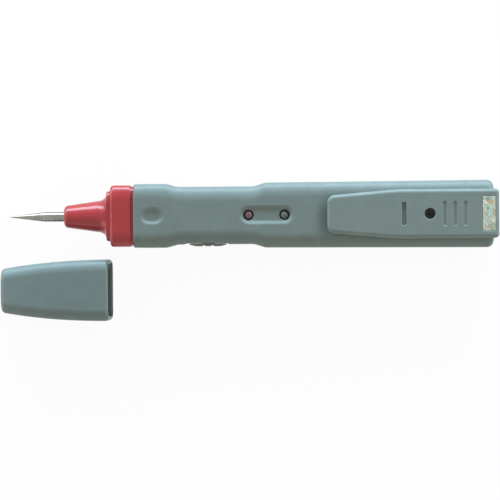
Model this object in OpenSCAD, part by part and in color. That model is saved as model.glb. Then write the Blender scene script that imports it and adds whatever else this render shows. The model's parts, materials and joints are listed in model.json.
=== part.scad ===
// Pen voltage tester: steel needle probe, red nose, two-part grey casing with two lamps and a side switch,
// a sliding battery cover with a springy pocket clip, and a push-on cap that lies beside it.
// Lengths are in millimetres. X runs from the probe to the clip end, Y across, Z up from the flat back.
// The origin is on the flat back, in the middle of the casing. Places along X are counted from the
// casing's front edge, and placed() moves them to the origin.

/* [Casing] */
// Length of the grey casing
casing_len = 110.9; // [106:0.1:125]
// Thickness in front of the clip
casing_t = 15; // [14.9:0.1:17]
// Wall of both shells
wall = 1.5; // [1.3:0.1:1.6]
// Radius of the long edges
edge_r = 3; // [2.4:0.1:3.8]
// Width at the very front
front_w = 19.5; // [19:0.1:20.5]
// Width of the hump behind the nose
hump_w = 19.8; // [19.2:0.1:22]
// Width of the finger waist
waist_w = 17.75; // [17.2:0.05:18.6]
// Width where the shoulders end
shoulder_w = 20; // [19.2:0.1:22]
// Width at the clip end
tail_w = 20.8; // [20.2:0.1:24]
// Place where the hump ends
hump_end = 9.4; // [8:0.1:10.3]
// Length of the slope from the hump to the waist
hump_slope = 4.7; // [3:0.1:5]
// Place where the waist ends
waist_end = 36.4; // [33:0.1:37.3]
// Length of the slope from the waist to the shoulders
shoulder_slope = 4.9; // [3:0.1:8]
// Rounding of the front rim
front_r = 0.5; // [0.2:0.1:0.8]
// Plan radius of the two rear corners
tail_corner_r = 2.1; // [1:0.1:3]
// Rounding of the rear upper and lower edges
tail_edge_r = 0.9; // [0.4:0.1:1.4]
// How much lower the deck under the clip is
deck_drop = 1.2; // [0.8:0.1:1.4]
// Length of the ramp down to the deck
ramp_len = 4.35; // [2:0.05:8]

/* [Nose] */
// Length of the collar
collar_len = 6.43; // [5:0.01:9]
// How far the collar lies inside the casing's front outline
collar_inset = 0.3; // [0.1:0.05:0.5]
// Rounding of the collar's front rim
collar_r = 0.8; // [0.3:0.1:1.2]
// Width of the groove between collar and casing
groove_w = 0.8; // [0.6:0.05:1.5]
// Depth of that groove
groove_depth = 0.35; // [0.2:0.05:0.9]
// Width of the flange that the cap pushes over
flange_w = 15.4; // [14.6:0.1:15.6]
// Height of that flange
flange_h = 10.8; // [10.4:0.1:11]
// Length of that flange
flange_len = 1.2; // [0.9:0.01:3]
// Length of the flare between cone and flange
flare_len = 2.6; // [1:0.01:3]
// Length of the cone
cone_len = 10.62; // [9.5:0.01:12]
// Diameter of the cone's front, where its rounded edge ends
cone_front_d = 7; // [6.4:0.1:7.6]
// Diameter of the cone's rear
cone_rear_d = 9.6; // [9:0.1:10.2]
// Rounding of the cone's front edge
cone_r = 1.3; // [0.5:0.1:1.4]

/* [Probe] */
// Diameter of the needle
pin_d = 3; // [2:0.1:3.4]
// Length of needle outside the nose
pin_out = 17.1; // [12:0.05:17.5]
// Length of its point
point_len = 11.25; // [6:0.05:11.5]

/* [Lamps and dimple] */
// Diameter of each lamp
lamp_d = 2.9; // [2.6:0.1:3]
// Distance between the lamps
lamp_pitch = 11.05; // [9.5:0.05:11.5]
// Place of the middle of the lamp track
track_x = 40.9; // [39.3:0.1:42.3]
// Length of the lamp track
track_len = 16.8; // [16:0.1:18]
// Width of the lamp track
track_w = 6; // [5.6:0.1:7]
// Depth of the lamp track
track_depth = 0.6; // [0.5:0.1:1.2]
// Width of the track's sloped sides
track_slope = 1.35; // [0.6:0.05:1.4]
// Place of the finger dimple
dimple_x = 5.77; // [5.5:0.01:6]
// Length of the dimple along the casing
dimple_len = 7.56; // [6.4:0.01:8]
// Width of the dimple
dimple_w = 5.66; // [4:0.01:6.4]
// Depth of the dimple
dimple_depth = 0.6; // [0.5:0.1:1.2]

/* [Switch] */
// Place of the front end of the switch recess
switch_x = 15.3; // [14.7:0.1:15.7]
// Length of the recess
switch_len = 14; // [13.6:0.1:15.5]
// Height of the recess
switch_h = 7.8; // [7:0.1:8.4]
// Depth of the recess
switch_depth = 0.35; // [0.2:0.05:0.5]
// Length of the knob
knob_len = 11.3; // [10:0.1:11.4]
// Height of the knob
knob_h = 6.4; // [5:0.1:6.8]
// How far the knob's ribs stand out of the waist
knob_out = 0.6; // [0.4:0.05:1]
// Travel of the knob
knob_travel = 1.8; // [1:0.1:1.85]

/* [Cells] */
// Diameter of a button cell
cell_d = 11.6; // [11:0.1:11.65]
// Thickness of a button cell
cell_t = 5.4; // [5:0.1:5.6]

/* [Battery cover and clip] */
// Width of the cover
cover_w = 15.1; // [14.8:0.1:16]
// Length of the cover without the springy clip
cover_len = 31.3; // [31:0.1:33]
// Thickness of the cover on the deck
cover_t = 2.3; // [2.1:0.1:2.8]
// How far the cover's tail stands past the casing
tail_out = 1.25; // [0.6:0.05:1.4]
// Length of the springy clip
clip_len = 21.4; // [18:0.1:23]
// Width near the clip's free end
clip_tip_w = 11.9; // [10:0.1:14]
// Plan radius of the clip's free corners
clip_corner_r = 2.4; // [1:0.1:3.5]
// Thickness of the springy clip
clip_t = 1.5; // [1.3:0.05:1.6]
// Rounding of the upper edges of cover and clip
cover_edge_r = 0.7; // [0.3:0.05:1]
// Length of the slot at the clip's root
slot_len = 7.1; // [5:0.1:9]
// Width of that slot
slot_w = 1.3; // [0.8:0.05:1.6]
// Diameter of the sound hole
hole_d = 3.35; // [2:0.05:4]
// Length of each grip groove
grip_len = 7.8; // [6:0.1:10]
// Width of each grip groove
grip_w = 1.35; // [0.8:0.05:1.6]
// Distance between the grip grooves
grip_pitch = 3.15; // [2.4:0.05:3.2]
// Number of grip grooves
grip_count = 3; // [2:1:3]
// Length of the label across the cover
label_len = 10.6; // [8:0.1:11.4]
// Width of the label along the cover
label_w = 3.9; // [3:0.1:4]

/* [Cap] */
// Length of the cap
cap_len = 34.2; // [33.6:0.1:40]
// Width of the cap at its closed end
cap_tip_w = 13.4; // [12:0.1:16]
// Height of the cap at its closed end
cap_tip_h = 10.4; // [10:0.1:13]
// Wall of the cap
cap_wall = 1.4; // [1:0.1:1.5]
// Rounding of the cap's closed end
cap_tip_r = 1.3; // [0.6:0.1:2]
// Rounding of the rim at the mouth
cap_rim_r = 0.7; // [0.3:0.05:0.9]
// Distance between the axes of tester and cap, lying side by side
cap_aside = 22.8; // [21:0.1:60]

/* [Board and parts] */
// Thickness of the circuit board
board_t = 1.2; // [0.8:0.1:1.6]
// Width of the circuit board
board_w = 12; // [11.8:0.1:12.4]
// Diameter of the buzzer
buzzer_d = 6.6; // [6:0.1:7]
// Height of the buzzer
buzzer_h = 4.2; // [3:0.1:4.4]
// Diameter of a shell screw's thread
screw_d = 2; // [1.6:0.1:2.4]
// Diameter of a shell screw's head
screw_head_d = 3.8; // [3.2:0.1:4]

/* [Hidden] */
$fn = 48;

// Cuts run this far past the faces that they open
overrun = 1;
// Steps of each rounded corner in a lofted section, and of each rounding or slope along a loft
corner_steps = 5;
slope_steps = 6;
round_steps = 4;

// Gap of a seated piece that lifts out, of a sliding piece, and of free air around a moving piece
seat_gap = 0.05;
slide_gap = 0.1;
free_gap = 0.25;

// Heights that the whole tester shares
axis_z = casing_t / 2;
deck_z = casing_t - deck_drop;
cover_z0 = deck_z + slide_gap;
cover_z1 = cover_z0 + cover_t;
clip_z0 = cover_z1 - clip_t;
board_drop = 0.9;
board_top = axis_z - board_drop;
board_z0 = board_top - board_t;

// Cover and clip along X, from the tail forward
cover_x1 = casing_len + tail_out;
hinge_x = cover_x1 - cover_len;
clip_x0 = hinge_x - clip_len;
hinge_r = clip_t / 2;
hinge_z = cover_z1 - hinge_r;
root_len = 3.6;
slot_back = 2.14;
hole_back = 10.05;
grip_back = 14.6;
grip_depth = 0.4;
tail_strip = 1.25;
label_recess = 0.35;
label_margin = 0.35;
label_t = 0.12;
cover_corner_r = 0.9;
cover_under_r = 0.15;
slot_x = hinge_x + slot_back;
hole_x = hinge_x + hole_back;
ramp_x1 = clip_x0;
ramp_x0 = ramp_x1 - ramp_len;

// Nose along X, from the casing forward
collar_x1 = -groove_w;
collar_x0 = collar_x1 - collar_len;
flange_x0 = collar_x0 - flange_len;
flare_x0 = flange_x0 - flare_len;
nose_x0 = flare_x0 - cone_len;
collar_w = front_w - 2 * collar_inset;
collar_h = casing_t - 2 * collar_inset;
collar_edge_r = edge_r - collar_inset;
flange_r = 2.4;
flange_rim_r = 0.35;

// Spigot of the nose, held between the two shells
front_wall = 1.5;
spigot_len = 2.4;
catch_len = 0.8;
catch_lip = 0.5;

// Board, contacts and cells along X
tab_t = 0.4;
tab_w = 4;
board_gap = 0.2;
tab_x0 = spigot_len + board_gap;
board_x0 = tab_x0 + tab_t;
plate_t = 0.4;
plate_x0 = hole_x + buzzer_d / 2 + free_gap;
board_x1 = plate_x0 - seat_gap;
end_wall = 1.6;
contact_t = 0.3;
cells_x1 = casing_len - end_wall - contact_t;
cells_x0 = cells_x1 - 2 * cell_t;
cell_z = wall + seat_gap + cell_d / 2;

// Rails of the cover, in the deck's cut-out
rail_out = 6.2;
rail_t = 1;
rail_hook = 0.8;
rail_hook_t = 0.9;
rail_air = 0.2;
cut_x0 = hole_x - buzzer_d / 2 - board_gap - rail_air;
cut_half_w = rail_out + free_gap;
rail_x0 = cut_x0 + rail_t;
rail_x1 = casing_len - end_wall - tail_corner_r;
hook_z1 = deck_z - wall - rail_air;
hook_z0 = hook_z1 - rail_hook_t;

// Shell screws and bosses
front_screw_x = 12.3;
rear_screw_fore = 18.45;
screw_places = [front_screw_x, hole_x - rear_screw_fore];
boss_wall = 1.2;
boss_r = screw_head_d / 2 + boss_wall;
boss_air = 0.3;
head_h = 1.4;
head_sunk = 0.6;
screw_gap = 0.1;
pilot_gap = 0.05;
screw_len = 9;

// Posts under the board, in pairs, this far in from its ends and behind the ramp's front
post_r = 1;
post_end = 4;
post_places = [board_x0 + post_end, ramp_x0 + post_end, board_x1 - post_end];

// Shapes of the casing
waist_start = hump_end + hump_slope;
shoulder_end = waist_end + shoulder_slope;
hump_rise = 4;
cap_curve = 2.2;

function mix(a, b, t) = a + (b - a) * t;
function clamped(t) = min(1, max(0, t));
function smooth(t) = t * t * (3 - 2 * t);
function eased(x, x0, x1) = smooth(clamped((x - x0) / (x1 - x0)));

// Quarter rounding as [distance from the end, inset], both in shares of the radius, from the end inwards
rounding_shares = [for (i = [0:round_steps]) [1 - cos(90 * i / round_steps), 1 - sin(90 * i / round_steps)]];

// Half width and top of the casing at x
function casing_half_w(x) =
    x < hump_end ? mix(front_w, hump_w, eased(x, 0, hump_rise)) / 2
    : x < waist_end ? mix(hump_w, waist_w, eased(x, hump_end, waist_start)) / 2
    : mix(
        mix(waist_w, shoulder_w, eased(x, waist_end, shoulder_end)),
        tail_w,
        clamped((x - shoulder_end) / (casing_len - shoulder_end))
    ) / 2;
function casing_top(x) = casing_t - deck_drop * eased(x, ramp_x0, ramp_x1);

// Places along the casing where its outline changes
slope_ends = [[hump_end, waist_start], [waist_end, shoulder_end], [ramp_x0, ramp_x1]];
casing_middle = [
    hump_rise,
    for (slope = slope_ends, i = [0:slope_steps]) mix(slope[0], slope[1], i / slope_steps)
];

// A station of a loft is [x, half width, bottom, top, radius of the upper corners, of the lower corners]
function ring(s) = [
    for (q = [0:3], i = [0:corner_steps])
        let (
            upper = q < 2,
            side = q == 0 || q == 3 ? 1 : -1,
            r = upper ? s[4] : s[5],
            a = 90 * (q + i / corner_steps)
        )
        [s[0], side * (s[1] - r) + r * cos(a), (upper ? s[3] - r : s[2] + r) + r * sin(a)]
];

// Closed solid through a list of stations
module loft(stations) {
    n = 4 * (corner_steps + 1);
    last = len(stations) - 1;
    polyhedron(
        points = [for (s = stations) each ring(s)],
        faces = [
            [for (j = [0:n - 1]) j],
            [for (j = [n - 1:-1:0]) last * n + j],
            for (k = [0:last - 1], j = [0:n - 1])
                let (a = k * n + j, b = k * n + (j + 1) % n, c = b + n, d = a + n)
                each [[a, d, c], [a, c, b]]
        ]
    );
}

module placed() {
    translate([-casing_len / 2, 0, 0])
        children();
}

// Turns a shape drawn along Z so that it runs along X from x, on the tester's axis
module along_x(x, z = axis_z) {
    translate([x, 0, z])
        rotate([0, 90, 0])
            children();
}

module rounded_rect(w, h, r) {
    square([w - 2 * r, h], center = true);
    square([w, h - 2 * r], center = true);
    for (y = [-1, 1], z = [-1, 1])
        translate([y * (w / 2 - r), z * (h / 2 - r)])
            circle(r);
}

// Rounded rectangular bar along X
module bar_x(x0, x1, w, h, r) {
    translate([x0, 0, axis_z])
        rotate([90, 0, 90])
            linear_extrude(x1 - x0)
                rounded_rect(w, h, r);
}

// Box between two heights, centred on the axis plane
module block(x0, x1, w, z0, z1) {
    translate([x0, -w / 2, z0])
        cube([x1 - x0, w, z1 - z0]);
}

// Slot with round ends across Y, from z0 up
module round_slot(x, len, w, z0, z1) {
    translate([x, 0, z0])
        linear_extrude(z1 - z0) {
            square([w, len - w], center = true);
            for (side = [-1, 1])
                translate([0, side * (len / 2 - w / 2)])
                    circle(w / 2);
        }
}

// Sunk pocket with sloped sides in the casing's top, round at both ends along X
module sloped_pocket(x, len, w, slope, depth) {
    r = w / 2;
    lift = overrun;
    rise = slope * lift / depth;
    hull()
        for (side = [-1, 1])
            translate([x + side * (len / 2 - r), 0, casing_t - depth])
                cylinder(h = depth + lift, r1 = r - slope, r2 = r + rise, $fn = 32);
}

// Unbroken tube of 6 sides along a helix on X: r is measured to the wire's middle
module coil(x0, len, r, wire_d, turns) {
    sides = 6;
    rings = 12 * turns;
    pitch = (len - wire_d) / turns;
    function wire(i, j) =
        let (
            a = 360 * i * turns / rings,
            b = 360 * j / sides,
            out = r + wire_d / 2 * cos(b)
        )
        [wire_d / 2 + pitch * turns * i / rings + wire_d / 2 * sin(b), out * cos(a), out * sin(a)];
    translate([x0, 0, axis_z])
        polyhedron(
            points = [for (i = [0:rings], j = [0:sides - 1]) wire(i, j)],
            faces = [
                [for (j = [0:sides - 1]) j],
                [for (j = [sides - 1:-1:0]) rings * sides + j],
                for (i = [0:rings - 1], j = [0:sides - 1])
                    let (a = i * sides + j, b = i * sides + (j + 1) % sides, c = b + sides, d = a + sides)
                    each [[a, d, c], [a, c, b]]
            ]
        );
}

module casing_outside() {
    loft([
        for (q = rounding_shares)
            let (x = front_r * q[0], inset = front_r * q[1])
            [x, casing_half_w(x) - inset, inset, casing_top(x) - inset, edge_r, edge_r],
        for (x = casing_middle)
            [x, casing_half_w(x), 0, casing_top(x), edge_r, edge_r],
        for (i = [round_steps:-1:0])
            let (
                q = rounding_shares[i],
                x = casing_len - tail_corner_r * q[0],
                dz = tail_edge_r * q[1]
            )
            [x, casing_half_w(x) - tail_corner_r * q[1], dz, casing_top(x) - dz, edge_r, edge_r]
    ]);
}

module casing_inside() {
    xs = [front_wall, each casing_middle, casing_len - end_wall];
    loft([
        for (x = xs)
            [x, casing_half_w(x) - wall, wall, casing_top(x) - wall, edge_r - wall, edge_r - wall]
    ]);
}

// What both shells have cut away: the nose's spigot, the switch recess and its slot
module shell_cuts() {
    bar_x(
        -overrun, front_wall + overrun,
        flange_w + 2 * slide_gap, flange_h + 2 * slide_gap, flange_r
    );
    translate([switch_x, -waist_w / 2 - overrun, axis_z - switch_h / 2])
        cube([switch_len, switch_depth + overrun, switch_h]);
    translate([stem_x0 - knob_travel - free_gap, -waist_w / 2 - overrun, axis_z - stem_h / 2 - slide_gap])
        cube([stem_len + knob_travel + 2 * free_gap, wall + 2 * overrun, stem_h + 2 * slide_gap]);
}

// Switch knob: its plate, ribs and stem
stem_len = 4;
stem_h = 1.4;
stem_back = 3.6;
knob_margin = 0.8;
knob_x1 = switch_x + switch_len - knob_margin;
knob_x0 = knob_x1 - knob_len;
stem_x0 = knob_x0 + stem_back;
knob_plate_t = 0.45;
knob_rib_w = 2.6;
knob_rib_r = 1.3;
recess_y = -waist_w / 2 + switch_depth;
housing_len = 9;
housing_w = 3.4;
housing_h = 3.4;

// Lamp track and dimple pads inside the top
pad_t = 0.9;
pad_margin = 0.6;
lamp_gap = 0.25;

module upper_shell() {
    color("slategray")
        placed()
            difference() {
                union() {
                    difference() {
                        intersection() {
                            casing_outside();
                            block(-overrun, casing_len + overrun, 2 * tail_w, axis_z, casing_t + overrun);
                        }
                        casing_inside();
                    }
                    upper_pads();
                    for (x = screw_places)
                        translate([x, 0, axis_z])
                            cylinder(h = casing_top(x) - wall / 2 - axis_z, r = boss_r - boss_air);
                }
                sloped_pocket(track_x, track_len, track_w, track_slope, track_depth);
                sloped_pocket(dimple_x, dimple_len, dimple_w, track_slope, dimple_depth);
                for (side = [-1, 1])
                    translate([track_x + side * lamp_pitch / 2, 0, axis_z])
                        cylinder(h = casing_t, r = lamp_d / 2 + lamp_gap);
                for (x = screw_places)
                    translate([x, 0, axis_z - overrun])
                        cylinder(h = screw_len - screw_seat + overrun, r = screw_d / 2 + pilot_gap);
                shell_cuts();
                rail_cuts();
            }
}

module upper_pads() {
    top = casing_t - wall / 2;
    block(
        track_x - track_len / 2, track_x + track_len / 2,
        track_w + 2 * pad_margin, casing_t - wall - pad_t, top
    );
    block(
        spigot_len + board_gap, dimple_x + dimple_len / 2,
        dimple_w + 2 * pad_margin, casing_t - wall - pad_t, top
    );
}

// Cut-out of the deck for the cover's rails and the cells, open at the rear
module rail_cuts() {
    block(cut_x0, casing_len + overrun, 2 * cut_half_w, hook_z0 - rail_air, casing_t + overrun);
    block(
        casing_len - end_wall - overrun, casing_len + overrun,
        2 * (rail_out + rail_hook + free_gap), hook_z0 - rail_air, casing_t + overrun
    );
}

// Depth of the screw's countersunk seat in the lower shell, measured down from the split
screw_seat = axis_z - head_sunk - head_h;

module lower_shell() {
    color("slategray")
        placed()
            difference() {
                union() {
                    difference() {
                        intersection() {
                            casing_outside();
                            block(-overrun, casing_len + overrun, 2 * tail_w, -overrun, axis_z);
                        }
                        casing_inside();
                    }
                    for (x = screw_places)
                        translate([x, 0, wall / 2])
                            cylinder(h = axis_z - wall / 2, r = boss_r);
                    for (x = post_places, side = [-1, 1])
                        translate([x, side * (board_w / 2 - post_r), wall / 2])
                            cylinder(h = board_z0 - wall / 2, r = post_r);
                    cell_cradle();
                }
                for (x = screw_places)
                    translate([x, 0, -overrun]) {
                        cylinder(h = casing_t, r = screw_d / 2 + screw_gap);
                        cylinder(h = overrun + head_sunk + head_h, r = screw_head_d / 2 + screw_gap);
                    }
                shell_cuts();
            }
}

// Cell cradle: its walls take this share of the room between the cells and the casing's wall
cradle_share = 0.324;
cradle_t = cradle_share * (casing_half_w(casing_len - end_wall) - wall - cell_d / 2);
cradle_air = 0.15;

// Walls on each side of the cells, up to the split
module cell_cradle() {
    for (side = [-1, 1])
        translate([
            cells_x0 - cradle_t,
            side * (cell_d / 2 + cradle_air + cradle_t / 2) - cradle_t / 2,
            wall / 2
        ])
            cube([casing_len - end_wall / 2 - cells_x0 + cradle_t, cradle_t, axis_z - wall / 2 - seat_gap]);
}

// Round cone with a rounded front edge, which runs on into the collar
module cone() {
    foot = cone_len + flare_len + flange_len + collar_r;
    along_x(nose_x0)
        rotate_extrude()
            polygon([
                [0, 0],
                for (q = rounding_shares)
                    [cone_front_d / 2 - cone_r * q[1], cone_r * q[0]],
                [cone_rear_d / 2, cone_len],
                [cone_rear_d / 2, foot],
                [0, foot]
            ]);
}

// Hollow flare that grows from the round cone to the flange's outline, as a share of a quarter turn.
// Its first outline lies inside the cone.
function flare_station(share) =
    let (
        grown = 1 - cos(90 * share),
        from = cone_rear_d / 2 - (share == 0 ? flange_rim_r : 0),
        half_w = mix(from, flange_w / 2 - flange_rim_r, grown),
        half_h = mix(from, flange_h / 2 - flange_rim_r, grown),
        r = mix(from, flange_r, grown)
    )
    [mix(flare_x0, flange_x0, sin(90 * share)), half_w, axis_z - half_h, axis_z + half_h, r, r];

module nose_cone() {
    color("firebrick")
        placed()
            difference() {
                union() {
                    cone();
                    loft([
                        for (i = [0:slope_steps])
                            flare_station(i / slope_steps),
                        for (i = [1:round_steps])
                            flange_station(
                                flange_x0 + flange_rim_r * rounding_shares[i][0],
                                flange_rim_r * rounding_shares[i][1]
                            ),
                        flange_station(collar_x0 + collar_len / 2, 0)
                    ]);
                    loft([
                        for (q = rounding_shares)
                            collar_station(collar_x0 + collar_r * q[0], collar_r * q[1]),
                        collar_station(collar_x1 - flange_rim_r, 0),
                        collar_station(collar_x1, flange_rim_r / 2)
                    ]);
                    bar_x(
                        collar_x1 - collar_len / 2, -seat_gap,
                        collar_w - 2 * groove_depth, collar_h - 2 * groove_depth, collar_edge_r - groove_depth
                    );
                    bar_x(collar_x1 - collar_len / 2, spigot_len, flange_w, flange_h, flange_r);
                    bar_x(
                        spigot_len - catch_len, spigot_len,
                        flange_w + 2 * catch_lip, flange_h + catch_lip, flange_r
                    );
                }
                along_x(nose_x0 - overrun)
                    cylinder(h = 2 * cone_len, r = shank_d / 2 + pin_gap);
                along_x(ferrule_x0)
                    cylinder(h = ferrule_len, r = ferrule_d / 2 + pin_gap);
                along_x(ferrule_x0 + ferrule_len)
                    cylinder(h = spigot_len - ferrule_x0, r = spring_well_d / 2);
            }
}

function flange_station(x, inset) =
    [
        x, flange_w / 2 - inset, axis_z - flange_h / 2 + inset, axis_z + flange_h / 2 - inset,
        flange_r, flange_r
    ];
function collar_station(x, inset) =
    [
        x, collar_w / 2 - inset, axis_z - collar_h / 2 + inset, axis_z + collar_h / 2 - inset,
        collar_edge_r, collar_edge_r
    ];

// Needle with its thinner shank, its bush and its spring inside the nose
shank_step = 0.2;
shank_d = pin_d - 2 * shank_step;
pin_gap = 0.02;
pin_tip_r = 0.1;
ferrule_len = 6;
ferrule_d = 5;
ferrule_lip = 0.5;
ferrule_lip_t = 0.8;
pin_tail = 1.5;
ferrule_x0 = collar_x0 - ferrule_len - ferrule_lip_t;
pin_x1 = ferrule_x0 + ferrule_len + pin_tail;
spring_well_d = 6.4;
spring_d = 3.8;
spring_wire = 0.4;
spring_turns = 7;

module probe_pin() {
    whole = pin_out + pin_x1 - nose_x0;
    color("gainsboro")
        placed()
            along_x(nose_x0 - pin_out)
                rotate_extrude()
                    polygon([
                        [0, 0],
                        [pin_tip_r, 0],
                        [pin_d / 2, point_len],
                        [pin_d / 2, pin_out],
                        [shank_d / 2, pin_out],
                        [shank_d / 2, whole],
                        [0, whole]
                    ]);
}

module pin_ferrule() {
    color("goldenrod")
        placed()
            along_x(ferrule_x0)
                difference() {
                    union() {
                        cylinder(h = ferrule_len, r = ferrule_d / 2);
                        translate([0, 0, ferrule_len])
                            cylinder(h = ferrule_lip_t, r = ferrule_d / 2 + ferrule_lip);
                    }
                    translate([0, 0, -overrun])
                        cylinder(h = ferrule_len + ferrule_lip_t + 2 * overrun, r = shank_d / 2 + pin_gap);
                }
}

module contact_spring() {
    color("silver")
        placed()
            coil(
                pin_x1 + seat_gap, tab_x0 - pin_x1 - 2 * seat_gap,
                (spring_d - spring_wire) / 2, spring_wire, spring_turns
            );
}

module contact_tab() {
    color("goldenrod")
        placed()
            block(tab_x0, board_x0, tab_w, board_z0, axis_z + tab_w / 2);
}

module circuit_board() {
    color("darkgreen")
        placed()
            difference() {
                block(board_x0, board_x1, board_w, board_z0, board_top);
                for (x = screw_places)
                    translate([x, 0, board_z0 - overrun])
                        cylinder(h = board_t + 2 * overrun, r = boss_r + boss_air);
            }
}

// Chip on the free part of the board between the rear screw and the buzzer
part_gap = 0.6;
chip_len = 8.7;
chip_x = screw_places[1] + boss_r + boss_air + part_gap + chip_len / 2;
chip_w = 3.9;
chip_t = 1.5;
chip_stand = 0.15;
leg_w = 0.4;
leg_t = 0.2;
leg_out = 1;
leg_pitch = 1.27;
leg_count = 6;

// Small outline chip with two rows of bent legs
module ic_chip() {
    color("dimgray")
        placed()
            translate([chip_x, 0, board_top]) {
                translate([-chip_len / 2, -chip_w / 2, chip_stand])
                    cube([chip_len, chip_w, chip_t]);
                for (i = [0:leg_count - 1], turn = [0, 180])
                    translate([leg_pitch * (i - (leg_count - 1) / 2), 0, 0])
                        rotate(turn)
                            chip_leg();
            }
}

// Leg towards +Y: out of the chip, down, and out along the board
module chip_leg() {
    knee_y = chip_w / 2 + leg_out / 2 - leg_t;
    translate([-leg_w / 2, chip_w / 2 - leg_t, chip_stand + chip_t / 2])
        cube([leg_w, leg_out / 2 + leg_t, leg_t]);
    translate([-leg_w / 2, knee_y, 0])
        cube([leg_w, leg_t, chip_stand + chip_t / 2 + leg_t]);
    translate([-leg_w / 2, knee_y, 0])
        cube([leg_w, leg_out / 2 + leg_t, leg_t]);
}

// Small round transistor with a flat face and three legs, beside the capacitor
transistor_d = 4.6;
transistor_h = 4;
transistor_stand = 1.2;
transistor_leg = 0.45;

module transistor() {
    color("dimgray")
        placed()
            translate([track_x, board_w / 2 - transistor_d / 2, board_top]) {
                translate([0, 0, transistor_stand])
                    difference() {
                        cylinder(h = transistor_h, r = transistor_d / 2);
                        translate([transistor_d / 4, -transistor_d, -overrun])
                            cube([transistor_d, 2 * transistor_d, transistor_h + 2 * overrun]);
                    }
                for (i = [-1, 0, 1])
                    translate([-transistor_leg / 2, i * leg_pitch - transistor_leg / 2, 0])
                        cube([transistor_leg, transistor_leg, transistor_stand + transistor_leg]);
            }
}

// Pair of high-ohm resistors in series with the probe
resistor_len = 6.4;
resistor_d = 2.3;
resistor_lead_d = 0.6;
resistor_span = 10.2;
resistor_x = switch_x + switch_len / 2 + part_gap;
resistor_rows = [1.2, 4.4];
resistor_air = 0.3;

module input_resistors() {
    z = resistor_d / 2 + resistor_air;
    color("burlywood")
        placed()
            for (y = resistor_rows)
                translate([resistor_x, y, board_top]) {
                    translate([-resistor_len / 2, 0, z])
                        rotate([0, 90, 0])
                            cylinder(h = resistor_len, r = resistor_d / 2);
                    translate([-resistor_span / 2, 0, z])
                        rotate([0, 90, 0])
                            cylinder(h = resistor_span, r = resistor_lead_d / 2);
                    for (side = [-1, 1])
                        translate([side * (resistor_span - resistor_lead_d) / 2, 0, 0])
                            cylinder(h = z, r = resistor_lead_d / 2);
                }
}

// Two rows of three chip resistors, one row on each side of the chip
chip_part = [1.6, 0.8, 0.5];
chip_part_pitch = 2.2;
chip_part_y = chip_w / 2 + leg_out + part_gap;

module chip_resistors() {
    color("black")
        placed()
            for (i = [-1, 0, 1], turn = [0, 180])
                translate([chip_x + chip_part_pitch * i, 0, board_top])
                    rotate(turn)
                        translate([-chip_part[0] / 2, chip_part_y, 0])
                            cube(chip_part);
}

capacitor_d = 4.4;
capacitor_t = 2;
capacitor_stand = 1;

// Ceramic disc that stands on the board between the lamps
module ceramic_capacitor() {
    color("chocolate")
        placed()
            translate([track_x, 0, board_top]) {
                translate([0, capacitor_t / 2, capacitor_stand + capacitor_d / 2])
                    rotate([90, 0, 0])
                        cylinder(h = capacitor_t, r = capacitor_d / 2);
                for (side = [-1, 1])
                    translate([side * leg_pitch, 0, 0])
                        cylinder(h = capacitor_stand + capacitor_d / 3, r = resistor_lead_d / 2);
            }
}

// Lamp with a dome, a foot flange and two leads down to the board
lamp_len = 4.6;
lamp_proud = 0.15;
lamp_flange = 0.35;
lamp_flange_t = 0.9;
lamp_lead_d = 0.5;
lamp_lead_pitch = 1.27;

module lamp(x) {
    r = lamp_d / 2;
    top = casing_t - track_depth + lamp_proud;
    z0 = top - lamp_len;
    placed()
        translate([x, 0, 0]) {
            translate([0, 0, z0])
                cylinder(h = lamp_flange_t, r = r + lamp_flange);
            translate([0, 0, z0])
                cylinder(h = lamp_len - r, r = r);
            translate([0, 0, top - r])
                sphere(r);
            for (side = [-1, 1])
                translate([side * lamp_lead_pitch / 2, 0, board_top])
                    cylinder(h = z0 - board_top + lamp_flange_t / 2, r = lamp_lead_d / 2);
        }
}

module led_red() {
    color("indianred")
        lamp(track_x - lamp_pitch / 2);
}

module led_green() {
    color("seagreen")
        lamp(track_x + lamp_pitch / 2);
}

// Fixed part of the slide switch, open towards the knob's stem
module switch_housing() {
    y0 = -board_w / 2;
    mid = stem_x0 + stem_len / 2 - knob_travel / 2;
    color("silver")
        placed()
            difference() {
                translate([mid - housing_len / 2, y0, board_top])
                    cube([housing_len, housing_w, housing_h]);
                translate([
                    stem_x0 - knob_travel - free_gap,
                    y0 - overrun,
                    axis_z - stem_h / 2 - slide_gap
                ])
                    cube([
                        stem_len + knob_travel + 2 * free_gap,
                        housing_w / 2 + overrun,
                        stem_h + 2 * slide_gap
                    ]);
            }
}

module switch_knob() {
    plate_y = recess_y - slide_gap;
    rib_y = -waist_w / 2 - knob_out;
    color("slategray")
        placed() {
            translate([knob_x0, plate_y - knob_plate_t, axis_z - knob_h / 2])
                cube([knob_len, knob_plate_t, knob_h]);
            for (i = [-1, 0, 1])
                translate([knob_x0 + knob_len / 2 + i * knob_rib_w, rib_y, axis_z - knob_h / 2])
                    intersection() {
                        translate([0, knob_rib_r, 0])
                            cylinder(h = knob_h, r = knob_rib_r);
                        translate([-knob_rib_r, 0, 0])
                            cube([2 * knob_rib_r, plate_y - rib_y - knob_plate_t / 2, knob_h]);
                    }
            translate([stem_x0, plate_y - knob_plate_t / 2, axis_z - stem_h / 2])
                cube([stem_len, stem_reach, stem_h]);
        }
}

stem_reach = waist_w / 2 - board_w / 2 + housing_w / 4;

buzzer_hole_d = 1.2;

// Flat can under the sound hole, with its own small hole
module buzzer() {
    color("black")
        placed()
            translate([hole_x, 0, board_top])
                difference() {
                    cylinder(h = buzzer_h, r = buzzer_d / 2);
                    translate([0, 0, buzzer_h / 2])
                        cylinder(h = buzzer_h, r = buzzer_hole_d / 2);
                }
}

// Button cell with its narrower minus face towards the probe
cell_lip = 1;
cell_step = 0.5;

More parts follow.
